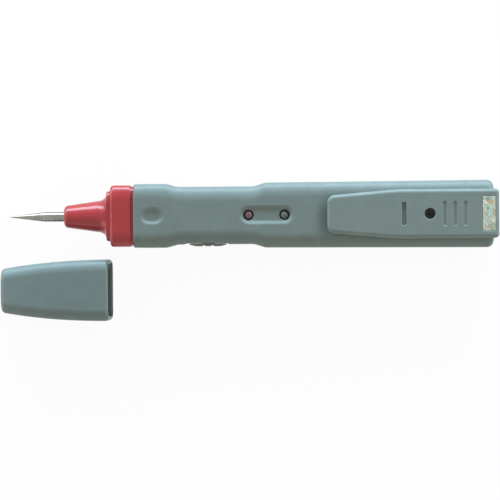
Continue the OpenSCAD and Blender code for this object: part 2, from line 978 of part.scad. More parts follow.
module cell(x0) {
    color("silver")
        placed()
            along_x(x0, cell_z) {
                translate([0, 0, cell_step])
                    cylinder(h = cell_t - cell_step, r = cell_d / 2);
                cylinder(h = cell_t / 2, r = cell_d / 2 - cell_lip);
            }
}

module cell_front() {
    cell(cells_x0);
}

module cell_rear() {
    cell(cells_x0 + cell_t);
}

battery_spring_d = 6;
battery_wire = 0.5;
battery_turns = 3;

module battery_spring() {
    x0 = plate_x0 + plate_t;
    color("silver")
        placed()
            coil(
                x0 + seat_gap, cells_x0 - x0 - 2 * seat_gap,
                (battery_spring_d - battery_wire) / 2, battery_wire, battery_turns
            );
}

plate_w = 8;
plate_h = 8;

module negative_contact() {
    color("goldenrod")
        placed()
            block(
                plate_x0, plate_x0 + plate_t,
                plate_w, axis_z - plate_h / 2, axis_z + plate_h / 2 - seat_gap
            );
}

positive_h = 6;
strip_h = 1.8;
strip_t = 0.4;

// Plate behind the cells with a strip beside the cradle, forward to the board's edge
module positive_contact() {
    out = cell_d / 2 + 2 * cradle_air + cradle_t;
    z0 = board_top - strip_h / 2;
    color("goldenrod")
        placed() {
            block(cells_x1, cells_x1 + contact_t, plate_w, axis_z - positive_h / 2, axis_z + positive_h / 2);
            translate([cells_x1, 0, axis_z + seat_gap])
                cube([contact_t, out + strip_t, strip_h]);
            translate([board_x1 - strip_t, out, axis_z + seat_gap])
                cube([cells_x1 + contact_t - board_x1 + strip_t, strip_t, strip_h]);
            translate([board_x1 - 2 * strip_t, board_w / 2 - strip_t, board_top])
                cube([2 * strip_t, out + 2 * strip_t - board_w / 2, strip_h + seat_gap]);
        }
}

// Plan outline of cover and clip: full width behind the root, tapering to the free end
function cover_half_w(x) = mix(clip_tip_w, cover_w, clamped((x - clip_x0 - clip_corner_r) /
    (hinge_x - clip_x0 - clip_corner_r))) / 2;

module battery_cover() {
    color("slategray")
        placed()
            difference() {
                union() {
                    loft([
                        cover_station(hinge_x + free_gap, 0, 0),
                        for (i = [round_steps:-1:0])
                            let (q = rounding_shares[i])
                            cover_station(
                                cover_x1 - cover_corner_r * q[0],
                                cover_corner_r * q[1],
                                cover_edge_r * q[1]
                            )
                    ]);
                    cover_tail();
                    for (side = [-1, 1])
                        cover_rail(side);
                }
                block(hinge_x, hinge_x + root_len, 2 * cover_w, cover_z0 - overrun, clip_z0);
                translate([hinge_x, -cover_w, hinge_z])
                    rotate([-90, 0, 0])
                        cylinder(h = 2 * cover_w, r = hinge_r);
                round_slot(slot_x, slot_len, slot_w, cover_z0 - overrun, cover_z1 + overrun);
                translate([hole_x, 0, cover_z0 - overrun])
                    cylinder(h = cover_t + 2 * overrun, r = hole_d / 2);
                for (i = [0:grip_count - 1])
                    round_slot(
                        hinge_x + grip_back + i * grip_pitch, grip_len, grip_w,
                        cover_z1 - grip_depth, cover_z1 + overrun
                    );
                block(
                    label_x0 - label_margin, label_x0 + label_w + label_margin / 2,
                    label_len + 2 * label_margin, cover_z1 - label_recess, cover_z1 + overrun
                );
            }
}

label_x0 = cover_x1 - tail_strip - label_w;
tail_w_share = 0.97;
tail_t = tail_out - slide_gap;

function cover_station(x, inset, drop) =
    [x, cover_w / 2 - inset, cover_z0, cover_z1 - drop, cover_edge_r, cover_under_r];

// Wall that closes the rear notch of the casing
module cover_tail() {
    block(
        cover_x1 - tail_t, cover_x1,
        tail_w_share * (cover_w - 2 * cover_corner_r), hook_z0, cover_z1 - cover_t / 2
    );
}

// Rail on one side: a leg through the deck's cut-out with a hook outwards under the deck
module cover_rail(side) {
    translate([rail_x0, side > 0 ? rail_out - rail_t : -rail_out, hook_z0])
        cube([rail_x1 - rail_x0, rail_t, cover_z0 + cover_t / 4 - hook_z0]);
    translate([rail_x0, side > 0 ? rail_out - rail_t : -rail_out - rail_hook, hook_z0])
        cube([rail_x1 - rail_x0, rail_t + rail_hook, rail_hook_t]);
}

bump_r = 0.9;
bump_w_share = 0.7;
bump_back = 2.2;

module pocket_clip() {
    color("slategray")
        placed() {
            loft([
                for (q = rounding_shares)
                    clip_station(
                        clip_x0 + clip_corner_r * q[0],
                        clip_corner_r * q[1],
                        cover_edge_r * q[1]
                    ),
                clip_station(hinge_x, 0, 0)
            ]);
            translate([hinge_x, -cover_w / 2 + cover_edge_r, hinge_z])
                rotate([-90, 0, 0])
                    cylinder(h = cover_w - 2 * cover_edge_r, r = hinge_r - seat_gap);
            translate([clip_x0 + bump_back, -bump_w_share * clip_tip_w / 2, deck_z + free_gap + bump_r])
                rotate([-90, 0, 0])
                    cylinder(h = bump_w_share * clip_tip_w, r = bump_r);
        }
}

function clip_station(x, inset, drop) =
    [x, cover_half_w(x) - inset, clip_z0, cover_z1 - drop, cover_edge_r, cover_under_r];

module foil_label() {
    color("lightgray")
        placed()
            block(
                label_x0, label_x0 + label_w, label_len,
                cover_z1 - label_recess, cover_z1 - label_recess + label_t
            );
}

screw_cross = [2.2, 0.5, 0.7];

// Two screws that come up from the back
module shell_screws() {
    color("silver")
        placed()
            for (x = screw_places)
                translate([x, 0, head_sunk])
                    difference() {
                        union() {
                            cylinder(h = head_h, r = screw_head_d / 2);
                            cylinder(h = screw_len, r = screw_d / 2);
                        }
                        for (a = [0, 90])
                            rotate(a)
                                translate([-screw_cross[0] / 2, -screw_cross[1] / 2, -overrun])
                                    cube([screw_cross[0], screw_cross[1], screw_cross[2] + overrun]);
                    }
}

// Cap: outline at distance t from its closed end. Its mouth matches the collar, and its back is flat
cap_mouth_w = collar_w;
cap_mouth_h = collar_h;
cap_x1 = collar_x0;
cap_steps = 9;
cap_edge_r = 2.9;

function cap_share(t) = pow(1 - clamped(t / cap_len), cap_curve);
function cap_half_w(t) = mix(cap_mouth_w, cap_tip_w, cap_share(t)) / 2;
function cap_top(t) = mix(cap_mouth_h, cap_tip_h, cap_share(t));

module cap() {
    x0 = cap_x1 - cap_len;
    run = cap_len - cap_tip_r - cap_rim_r;
    color("slategray")
        placed()
            translate([0, -cap_aside, 0])
                difference() {
                    loft([
                        for (q = rounding_shares)
                            cap_station(x0, cap_tip_r * q[0], cap_tip_r * q[1]),
                        for (i = [1:cap_steps - 1])
                            cap_station(x0, cap_tip_r + run * i / cap_steps, 0),
                        for (i = [round_steps:-1:0])
                            cap_station(
                                x0,
                                cap_len - cap_rim_r * rounding_shares[i][0],
                                cap_rim_r * rounding_shares[i][1]
                            )
                    ]);
                    loft([
                        for (i = [0:cap_steps])
                            cap_hollow(x0, cap_wall + (cap_len - cap_wall) * i / cap_steps, 0),
                        cap_hollow(x0, cap_len, overrun)
                    ]);
                }
}

function cap_station(x0, t, inset) =
    [x0 + t, cap_half_w(t) - inset, inset, cap_top(t) - inset, cap_edge_r, cap_edge_r];
function cap_hollow(x0, t, past) =
    [
        x0 + t + past, cap_half_w(t) - cap_wall, cap_wall, cap_top(t) - cap_wall,
        cap_edge_r - cap_wall, cap_edge_r - cap_wall
    ];

upper_shell();
lower_shell();
nose_cone();
probe_pin();
pin_ferrule();
contact_spring();
contact_tab();
circuit_board();
ic_chip();
transistor();
input_resistors();
chip_resistors();
ceramic_capacitor();
led_red();
led_green();
switch_housing();
switch_knob();
buzzer();
cell_front();
cell_rear();
battery_spring();
negative_contact();
positive_contact();
battery_cover();
pocket_clip();
foil_label();
shell_screws();
cap();
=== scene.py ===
import json
import math

import bmesh
import bpy
import numpy as np
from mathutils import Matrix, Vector


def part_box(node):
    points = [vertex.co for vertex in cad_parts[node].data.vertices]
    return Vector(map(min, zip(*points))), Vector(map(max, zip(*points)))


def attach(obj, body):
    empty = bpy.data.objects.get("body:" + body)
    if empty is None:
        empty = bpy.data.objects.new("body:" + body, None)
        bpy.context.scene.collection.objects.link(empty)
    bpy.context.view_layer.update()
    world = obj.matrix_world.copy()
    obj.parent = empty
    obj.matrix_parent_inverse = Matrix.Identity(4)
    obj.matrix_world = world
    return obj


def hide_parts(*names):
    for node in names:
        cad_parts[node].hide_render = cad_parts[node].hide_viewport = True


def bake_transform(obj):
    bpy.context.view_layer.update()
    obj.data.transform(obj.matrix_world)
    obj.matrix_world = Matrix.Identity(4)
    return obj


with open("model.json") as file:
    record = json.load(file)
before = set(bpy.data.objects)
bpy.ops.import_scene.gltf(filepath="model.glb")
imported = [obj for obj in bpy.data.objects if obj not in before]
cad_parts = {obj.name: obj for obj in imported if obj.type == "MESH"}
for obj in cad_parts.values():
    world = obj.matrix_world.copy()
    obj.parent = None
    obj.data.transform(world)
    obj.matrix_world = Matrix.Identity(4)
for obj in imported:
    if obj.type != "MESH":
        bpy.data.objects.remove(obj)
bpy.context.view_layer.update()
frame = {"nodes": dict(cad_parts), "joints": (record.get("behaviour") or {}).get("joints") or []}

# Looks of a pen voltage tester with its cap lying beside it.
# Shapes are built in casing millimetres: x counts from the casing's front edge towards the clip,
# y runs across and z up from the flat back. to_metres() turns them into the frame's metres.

MM = 0.001


def span(node):
    """Lowest and highest corner of a CAD node in millimetres, in the frame's own places."""
    low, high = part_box(node)
    return np.array(low) / MM, np.array(high) / MM


# Sizes read from the frame
shell_low, shell_high = span("lower_shell")
CASING_LEN = shell_high[0] - shell_low[0]
CASING_T = span("upper_shell")[1][2]
SPLIT_Z = shell_high[2]
FRONT_X = shell_low[0]
COVER_TOP = span("battery_cover")[1][2]
COVER_X1 = span("battery_cover")[1][0] - FRONT_X
COVER_W = 2 * span("battery_cover")[1][1]
CLIP_X0 = span("pocket_clip")[0][0] - FRONT_X
NEEDLE_X0 = span("probe_pin")[0][0] - FRONT_X
NEEDLE_X1 = span("probe_pin")[1][0] - FRONT_X
NOSE_X0 = span("nose_cone")[0][0] - FRONT_X
CAP_LOW, CAP_HIGH = span("cap")
KNOB_LOW, KNOB_HIGH = span("switch_knob")
LAMP_X = [(span(name)[0][0] + span(name)[1][0]) / 2 - FRONT_X for name in ("led_red", "led_green")]
LAMP_TOP = span("led_red")[1][2]
hinge = next(j for j in frame["joints"] if j["name"] == "clip_flex")
HINGE_X = hinge["pos_m"][0] / MM - FRONT_X
SCREW_LOW, SCREW_HIGH = span("shell_screws")
SCREW_HEAD_R = 1.9
SCREW_X = [SCREW_LOW[0] + SCREW_HEAD_R - FRONT_X, SCREW_HIGH[0] - SCREW_HEAD_R - FRONT_X]

# How far a cutting tool reaches past the surface that it opens
PAST = 1.0

# Casing. A section's corners reach EDGE_WIDE times their height across.
WALL = 1.5
END_WALL = 1.6
EDGE_R = 3.0
EDGE_WIDE = 1.5
CORNER_POINTS = 15
FLAT_POINTS = 61
LOW_FLAT_POINTS = 9
HOLLOW_SECTIONS = 90
FRONT_W = 19.5
HUMP_W = 19.65
WAIST_W = 17.75
SHOULDER_W = 20.0
TAIL_W = 20.8
HUMP_RISE = 4.0
HUMP_END = 9.4
WAIST_START = 14.1
WAIST_END = 36.4
SHOULDER_END = 41.3
FRONT_R = 0.6
TAIL_CORNER_R = 2.1
TAIL_EDGE_R = 0.9
DECK_DROP = 1.2
RAMP_LEN = 4.35
RAMP_X1 = CLIP_X0
RAMP_X0 = RAMP_X1 - RAMP_LEN
SEAM_DEPTH = 0.12
SEAM_HALF_W = 0.14

# Runs of casing sections as (start, end, spacing), fine along the hump, the dimple and the lamp track
SECTION_RUNS = (
    (1.0, 10.4, 0.22),
    (10.8, 31.0, 0.6),
    (31.4, 49.8, 0.22),
    (50.2, CASING_LEN - TAIL_CORNER_R - 0.3, 0.7),
)

# Lamp track and dimple, each with a thicker wall below it that reaches BACKING_HALF from its middle
TRACK_X, TRACK_LEN, TRACK_W, TRACK_DEPTH, TRACK_UPPER_SLOPE = sum(LAMP_X) / 2, 16.8, 6.0, 0.6, 1.7
DIMPLE_X, DIMPLE_LEN, DIMPLE_W, DIMPLE_DEPTH, DIMPLE_UPPER_SLOPE = 5.77, 7.56, 5.66, 0.6, 2.7
LOWER_SLOPE = 1.5
BACKING_T = 1.0
TRACK_BACKING_HALF = (9.0, 3.8)
DIMPLE_BACKING_HALF = (4.0, 3.6)

# Lamps
LAMP_R = 1.45
LAMP_HOLE_R = 1.7
LAMP_HOLE_CHAMFER = 0.15
LAMP_RIM_R = LAMP_R + 0.35
LAMP_RIM_TOP, LAMP_LEN = 3.7, 4.6

# Screws with their seats and bosses, and the cell cradle's walls
SCREW_HEAD_T, SCREW_R, SCREW_LEN = 1.4, 1.0, 9.0
CROSS_HALF_LEN, CROSS_HALF_W, CROSS_DEPTH = 1.1, 0.25, 0.7
BOSS_R, BOSS_Z0 = 3.1, 1.0
SEAT_R, SEAT_DEPTH, SEAT_CHAMFER = 2.0, 2.0, 0.15
PILOT_R, PILOT_END = 1.1, 9.0
CRADLE_X0, CRADLE_X1, CRADLE_Y, CRADLE_T, CRADLE_Z0 = 97.2, CASING_LEN - 0.8, 6.45, 1.0, 0.75

# Switch recess with the slot for the knob's stem
SWITCH_X0, SWITCH_LEN, SWITCH_H, SWITCH_DEPTH, SWITCH_CORNER_R = 15.3, 14.0, 11.2, 0.35, 0.9
SLIT_X0, SLIT_X1, SLIT_HALF_H, SLIT_DEPTH = 18.3, 24.9, 0.8, 2.5

# Knob, with its ribs, the slopes at its ends and its stem
RIB_PITCH, RIB_GAP_W, RIB_GAP_DEPTH, RIB_STEEPNESS = 2.6, 1.1, 0.3, 1.3
KNOB_FLAT, KNOB_END_DROP, KNOB_EDGE_R, KNOB_EDGE_DROP = 3.45, 0.42, 0.6, 0.55
KNOB_FLOOR_DROP = 0.1
STEM_FROM, STEM_TO, STEM_HALF_H, STEM_LEN = 3.6, 7.6, 0.7, 2.2

# Cover and clip. The clip's root, where it flexes, lies between BEND_X0 and BEND_X1.
DECK_Z = CASING_T - DECK_DROP
COVER_Z0 = DECK_Z + 0.1
CLIP_T = 1.5
CLIP_TIP_W = 11.9
CLIP_CORNER_R = 2.4
COVER_CORNER_R = 1.3
COVER_EDGE_R = 1.25
UNDER_CHAMFER = 0.12
ROOT_LEN = 3.6
TAPER_EASE = 0.15
BEND_X0, BEND_X1, BEND_CUTS = HINGE_X - 4.0, HINGE_X + 1.4, 12
BUMP_X, BUMP_R, BUMP_HALF_W, BUMP_AIR = CLIP_X0 + 2.2, 0.9, 4.1, 0.25
SLOT_X, SLOT_LEN, SLOT_W, SLOT_DEPTH = HINGE_X + 2.14, 7.1, 1.3, 0.8
HOLE_X, HOLE_R, HOLE_CHAMFER = HINGE_X + 10.05, 1.675, 0.16
GRIP_X, GRIP_PITCH, GRIP_COUNT = HINGE_X + 14.6, 3.15, 3
GRIP_LEN, GRIP_W, GRIP_DEPTH = 7.8, 1.3, 0.34
LABEL_X1 = COVER_X1 - 1.25
LABEL_W, LABEL_LEN, LABEL_RECESS, LABEL_MARGIN, LABEL_T = 3.9, 10.6, 0.18, 0.15, 0.12

# Rails of the cover and the cut-out in the deck that they slide in
CUT_X0, CUT_HALF_W, CUT_Z0 = 87.2, 6.45, 10.9
RAIL_X0, RAIL_X1, RAIL_IN, RAIL_OUT, HOOK_OUT = 88.2, 107.2, 5.2, 6.2, 7.0
HOOK_Z0, HOOK_Z1 = 11.2, 12.1
HOOK_PLAY, HOOK_NOTCH_LEN = 0.25, 2.6

# Nose
COLLAR_X0, COLLAR_X1 = CAP_HIGH[0] - FRONT_X, -0.8
COLLAR_W, COLLAR_H, COLLAR_EDGE_R, COLLAR_WIDE = 18.9, 14.4, 2.7, 1.7
COLLAR_FRONT_R, COLLAR_REAR_R = 1.2, 0.3
FLANGE_X0, FLANGE_W, FLANGE_H = COLLAR_X0 - 1.2, 15.4, 11.2
FLANGE_EDGE_R, FLANGE_R, FLANGE_WIDE = 2.4, 0.6, 1.8
FLARE_X0 = FLANGE_X0 - 3.0
CONE_FRONT_R, CONE_REAR_R, CONE_R = 3.5, 4.8, 1.3
NECK_INSET, NECK_DROP, NECK_AIR = 0.35, 0.9, 0.05
NOSE_OVERLAP = 3.0
SPIGOT_X1, SPIGOT_H, SPIGOT_PLAY = 2.4, 10.8, 0.2
BORE_R, BORE_LEN = 1.32, 30.0

# Needle
NEEDLE_R, NEEDLE_REAR_R = 1.5, 1.3
POINT_LEN = 11.25
TIP_LEN = TIP_R = 0.12

# Cap
CAP_LEN = CAP_HIGH[0] - CAP_LOW[0]
CAP_MOUTH_W = CAP_HIGH[1] - CAP_LOW[1]
CAP_MOUTH_H = CAP_HIGH[2]
CAP_TIP_W, CAP_TIP_H, CAP_CURVE = 13.4, 10.4, 2.2
CAP_WALL = 1.4
CAP_TIP_R, CAP_RIM_R, CAP_INNER_R = 1.3, 0.95, 0.6
CAP_EDGE_R, CAP_WIDE = 2.9, 1.25
CAP_LEAN, CAP_LEAN_LEN = 0.75, 9.0
CAP_STEPS, CAP_INNER_STEPS = 56, 40


def smooth(t):
    t = np.clip(t, 0.0, 1.0)
    return t * t * (3 - 2 * t)


def mix(a, b, t):
    return a + (b - a) * t


def to_metres(points):
    """Casing millimetres to the frame's metres."""
    p = np.array(points, float)
    p[..., 0] += FRONT_X
    return p * MM


# Mesh helpers


def piece(name, points, faces):
    """A mesh object from points in casing millimetres."""
    mesh = bpy.data.meshes.new(name)
    mesh.from_pydata([tuple(p) for p in to_metres(points)], [], [tuple(int(i) for i in f) for f in faces])
    mesh.update()
    ob = bpy.data.objects.new(name, mesh)
    bpy.context.scene.collection.objects.link(ob)
    return ob


def skin(name, rings):
    """Closed mesh through rings of equal point counts, with a flat face on each end."""
    rings = np.array(rings, float)
    count, n = rings.shape[:2]
    faces = [tuple(range(n))[::-1], tuple(range((count - 1) * n, count * n))]
    for k in range(count - 1):
        for j in range(n):
            a, b = k * n + j, k * n + (j + 1) % n
            faces.append((a, b, b + n, a + n))
    ob = piece(name, rings.reshape(-1, 3), faces)
    bm = bmesh.new()
    bm.from_mesh(ob.data)
    bmesh.ops.remove_doubles(bm, verts=bm.verts, dist=1e-7)
    bmesh.ops.recalc_face_normals(bm, faces=bm.faces)
    bm.to_mesh(ob.data)
    bm.free()
    return ob


def combine(ob, tool, operation):
    """Cuts, joins or keeps what tool shares with ob, and deletes tool."""
    step = ob.modifiers.new("combine", "BOOLEAN")
    step.object = tool
    step.operation = operation
    step.solver = "MANIFOLD"
    made = bpy.data.meshes.new_from_object(ob.evaluated_get(bpy.context.evaluated_depsgraph_get()))
    ob.modifiers.clear()
    ob.data = made
    bpy.data.objects.remove(tool)
    return ob


def cut(ob, tool):
    return combine(ob, tool, "DIFFERENCE")


def join(ob, tool):
    return combine(ob, tool, "UNION")


def shade(ob, angle=40.0):
    """Smooth shading with sharp edges past an angle, weighted so that flat faces stay flat."""
    ob.data.polygons.foreach_set("use_smooth", [True] * len(ob.data.polygons))
    ob.data.set_sharp_from_angle(angle=math.radians(angle))
    weighted = ob.modifiers.new("weighted", "WEIGHTED_NORMAL")
    weighted.keep_sharp = True
    weighted.weight = 80
    return ob


def block(x0, x1, y0, y1, z0, z1):
    """Plain box, used only to cut with or as a hidden rail."""
    corners = [(y0, z0), (y1, z0), (y1, z1), (y0, z1)]
    return skin("block", [[(x, y, z) for y, z in corners] for x in (x0, x1)])


def rounded_ring(half_w, z0, z1, r, steps=8, wide=1.0):
    """Rounded rectangle in y and z. Its corners are r high and reach wide times r in y."""
    ring = []
    rw = min(r * wide, half_w)
    for q, (side, up) in enumerate(((1, 1), (-1, 1), (-1, -1), (1, -1))):
        cy, cz = side * (half_w - rw), (z1 - r if up > 0 else z0 + r)
        for i in range(steps + 1):
            a = math.radians(90 * (q + i / steps))
            ring.append((cy + rw * math.cos(a), cz + r * math.sin(a)))
    return ring


def at_x(x, ring):
    return [(x, y, z) for y, z in ring]


def revolve(name, profile, x0, z=SPLIT_Z, axis="X", sides=64):
    """Closed solid of revolution over the middle line: profile lists (distance along the axis, radius)."""
    turn = [2 * math.pi * i / sides for i in range(sides)]
    rings = []
    for along, radius in profile:
        if axis == "X":
            rings.append([(x0 + along, radius * math.cos(a), z + radius * math.sin(a)) for a in turn])
        else:
            rings.append([(x0 + radius * math.cos(a), radius * math.sin(a), z + along) for a in turn])
    return skin(name, rings)


def stack(name, outline, levels):
    """Closed solid through one outline function in plan: levels lists (z, inset)."""
    return skin(name, [[(x, y, z) for x, y in outline(inset)] for z, inset in levels])


def obround(x, y, length, width, along="Y", steps=14):
    """Outline function of a slot with round ends. It shrinks by the inset that it is given."""
    def outline(inset):
        r = max(width / 2 - inset, 0.01)
        straight = length / 2 - width / 2
        points = []
        for end, start in ((1, 0.0), (-1, 180.0)):
            for i in range(steps + 1):
                a = math.radians(start + 180.0 * i / steps)
                u, v = end * straight + r * math.sin(a), r * math.cos(a)
                points.append((x + v, y + u) if along == "Y" else (x + u, y - v))
        return points
    return outline


def rounded_plan(x0, x1, half_w, r, steps=6):
    """Outline function of a rounded rectangle in plan."""
    def outline(inset):
        points = []
        rr = max(r - inset, 0.01)
        for q, (sx, sy) in enumerate(((1, 1), (-1, 1), (-1, -1), (1, -1))):
            cx = (x1 - r) if sx > 0 else (x0 + r)
            for i in range(steps + 1):
                a = math.radians(90 * (q + i / steps))
                points.append((cx + rr * math.cos(a), sy * (half_w - r) + rr * math.sin(a)))
        return points
    return outline


def rounding(r, steps):
    """Quarter rounding as (distance in from the end, inset), from the end inwards."""
    turn = [math.pi / 2 * i / steps for i in range(steps + 1)]
    return [(r * (1 - math.cos(a)), r * (1 - math.sin(a))) for a in turn]


# Materials
WORN_REACH = 0.3


def put(tree, kind, sockets=None, **settings):
    """Adds a shader node. A socket takes a number, a vector, a colour or another node's output."""
    node = tree.nodes.new("ShaderNode" + kind)
    for name, value in settings.items():
        setattr(node, name, value)
    for name, value in (sockets or {}).items():
        if isinstance(value, bpy.types.NodeSocket):
            tree.links.new(value, node.inputs[name])
        else:
            node.inputs[name].default_value = value
    return node


def empty_tree(owner):
    """Emptied node tree of a material or a world."""
    owner.use_nodes = True
    owner.node_tree.nodes.clear()
    return owner.node_tree


def new_material(name):
    """Empty material with its tree, principled shader and object coordinates."""
    mat = bpy.data.materials.new(name)
    tree = empty_tree(mat)
    shader = put(tree, "BsdfPrincipled")
    put(tree, "OutputMaterial", {"Surface": shader.outputs[0]})
    return mat, tree, shader, put(tree, "TexCoord").outputs["Object"]


def srgb(*levels):
    """Colour from 0-255 screen values to linear light."""
    shares = [v / 255 for v in levels]
    return tuple(s / 12.92 if s <= 0.04045 else ((s + 0.055) / 1.055) ** 2.4 for s in shares) + (1.0,)


def noise(tree, where, scale, detail=3.0):
    sockets = {"Vector": where, "Scale": scale, "Detail": detail, "Roughness": 0.55}
    return put(tree, "TexNoise", sockets).outputs["Fac"]


def ramp(tree, value, stops):
    """Colour ramp through (place, screen colour) stops."""
    node = put(tree, "ValToRGB", {"Fac": value})
    for _ in range(len(stops) - 2):
        node.color_ramp.elements.new(0.5)
    for element, (place, colour) in zip(node.color_ramp.elements, stops):
        element.position = place
        element.color = srgb(*colour)
    return node.outputs[0]


def spread(tree, value, low, high, start=0.0, end=1.0):
    """Value from start to end, spread to the range from low to high and kept within it."""
    sockets = {"Value": value, "From Min": start, "From Max": end, "To Min": low, "To Max": high}
    return put(tree, "MapRange", sockets).outputs[0]


def blend_colour(tree, share, first, second, mode="MIX"):
    node = put(tree, "MixRGB", {"Fac": share, "Color1": first, "Color2": second}, blend_type=mode)
    return node.outputs[0]


def times(tree, first, second):
    return put(tree, "Math", {0: first, 1: second}, operation="MULTIPLY").outputs[0]


def bumps(tree, shader, layers):
    """Chain of bump layers, each a height texture and its depth in millimetres."""
    last = None
    for height, depth in layers:
        node = put(tree, "Bump", {"Strength": 1.0, "Distance": depth * MM, "Height": height})
        if last:
            tree.links.new(last.outputs[0], node.inputs["Normal"])
        last = node
    tree.links.new(last.outputs[0], shader.inputs["Normal"])


def worn_edges(tree, where):
    """1 on tight edges, broken up by noise, and 0 elsewhere."""
    rounded = put(tree, "Bevel", {"Radius": WORN_REACH * MM}, samples=6).outputs[0]
    normal = put(tree, "NewGeometry").outputs["Normal"]
    same = put(tree, "VectorMath", {0: rounded, 1: normal}, operation="DOT_PRODUCT").outputs["Value"]
    edge = spread(tree, same, 1.0, 0.0, 0.86, 0.995)
    return times(tree, edge, spread(tree, noise(tree, where, 1600.0), 0.15, 1.0, 0.38, 0.62))


def moulded(name, dark, light, worn, rough, grain,
            grain_scale=5200.0, wave=0.0, wear=0.55, gloss=0.5, coat=0.0):
    """Moulded plastic: mottled colour, uneven roughness, grain, slow waves and lighter worn edges."""
    mat, tree, shader, where = new_material(name)
    mottle = noise(tree, where, 240.0, 4.0)
    specks = spread(tree, noise(tree, where, 4200.0, 2.0), 0.93, 1.07, 0.3, 0.7)
    colour = ramp(tree, mottle, [(0.3, dark), (0.7, light)])
    speckled = blend_colour(tree, 1.0, colour, specks, "MULTIPLY")
    edge = worn_edges(tree, where)
    surface = blend_colour(tree, times(tree, edge, wear), speckled, srgb(*worn))
    tree.links.new(surface, shader.inputs["Base Color"])
    uneven = spread(tree, noise(tree, where, 700.0), rough - 0.05, rough + 0.05, 0.3, 0.7)
    polished = put(tree, "Math", {0: uneven, 1: times(tree, edge, 0.1)}, operation="SUBTRACT").outputs[0]
    tree.links.new(polished, shader.inputs["Roughness"])
    waves = noise(tree, where, 110.0, 1.0)
    bumps(tree, shader, [(waves, wave), (noise(tree, where, grain_scale, 2.0), grain)])
    shader.inputs["Specular IOR Level"].default_value = gloss
    shader.inputs["Coat Weight"].default_value = coat
    shader.inputs["Coat Roughness"].default_value = 0.13
    return mat


def metal(name, dark, light, rough, stretch=(1.0, 1.0, 1.0), lines=1500.0):
    """Metal with fine drawn or turned lines and faint clouds."""
    mat, tree, shader, where = new_material(name)
    turned = put(tree, "Mapping", {"Vector": where, "Scale": stretch}).outputs[0]
    drawn = noise(tree, turned, lines)
    clouds = spread(tree, noise(tree, where, 380.0), 0.9, 1.1, 0.3, 0.7)
    colour = blend_colour(tree, 1.0, ramp(tree, drawn, [(0.3, dark), (0.7, light)]), clouds, "MULTIPLY")
    tree.links.new(colour, shader.inputs["Base Color"])
    tree.links.new(spread(tree, drawn, rough - 0.07, rough + 0.08, 0.3, 0.7), shader.inputs["Roughness"])
    bumps(tree, shader, [(drawn, 0.004)])
    shader.inputs["Metallic"].default_value = 1.0
    return mat


def lamp_epoxy(name, x, dark, light):
    """Unlit tinted lamp epoxy with painted shade that darkens it towards its rim as the camera sees it, and
    darker over the chip, which is x along the casing.
    """
    mat, tree, shader, where = new_material(name)
    cloud = noise(tree, where, 800.0, 2.0)
    rim = put(tree, "LayerWeight", {"Blend": 0.35}).outputs["Facing"]
    body = ramp(tree, cloud, [(0.35, dark), (0.65, light)])
    flat = put(tree, "VectorMath", {0: where, 1: (1.0, 1.0, 0.0)}, operation="MULTIPLY").outputs[0]
    middle = ((x + FRONT_X) * MM, 0.0, 0.0)
    away = put(tree, "VectorMath", {0: flat, 1: middle}, operation="DISTANCE").outputs["Value"]
    cup = blend_colour(tree, spread(tree, away, 0.5, 0.0, 0.00025, 0.0006), body, srgb(48, 42, 44))
    # Painted shade: the epoxy turns darker where its dome faces away from the camera.
    rim_painted_shade = spread(tree, rim, 0.0, 0.5, 0.45, 0.95)
    tree.links.new(blend_colour(tree, rim_painted_shade, cup, srgb(34, 31, 32)), shader.inputs["Base Color"])
    tree.links.new(spread(tree, cloud, 0.06, 0.14), shader.inputs["Roughness"])
    bumps(tree, shader, [(cloud, 0.006)])
    shader.inputs["Specular IOR Level"].default_value = 0.8
    return mat


def foil(name):
    """Rainbow foil: crumpled shards, mostly pale, some blue, orange and pink."""
    mat, tree, shader, where = new_material(name)
    warp = put(tree, "TexNoise", {"Vector": where, "Scale": 520.0, "Detail": 2.0}).outputs["Color"]
    push = (0.0018, 0.0018, 0.0018)
    shift = put(tree, "VectorMath", {0: warp, 1: push, 2: where}, operation="MULTIPLY_ADD")
    cells = put(tree, "TexVoronoi", {"Vector": shift.outputs[0], "Scale": 1150.0})
    pick = put(tree, "SeparateColor", {"Color": cells.outputs["Color"]})
    shards = ramp(tree, pick.outputs[0], [
        (0.0, (122, 142, 124)), (0.16, (190, 202, 186)), (0.3, (124, 168, 178)), (0.42, (172, 178, 134)),
        (0.56, (200, 210, 198)), (0.68, (136, 158, 144)), (0.76, (200, 142, 86)), (0.79, (184, 194, 176)),
        (0.9, (188, 156, 158)), (0.93, (154, 170, 142)), (1.0, (88, 138, 164)),
    ])
    dull = noise(tree, where, 300.0)
    tree.links.new(blend_colour(tree, spread(tree, dull, 0.0, 0.4, 0.4, 0.65), shards, srgb(128, 144, 124)),
                   shader.inputs["Base Color"])
    tree.links.new(spread(tree, pick.outputs[1], 0.2, 0.42), shader.inputs["Roughness"])
    bumps(tree, shader, [(pick.outputs[2], 0.03)])
    shader.inputs["Metallic"].default_value = 0.15
    return mat




def grey(name, dark, light, wave):
    return moulded(name, dark, light, (138, 152, 150), 0.44, 0.012, wave=wave, gloss=0.33)


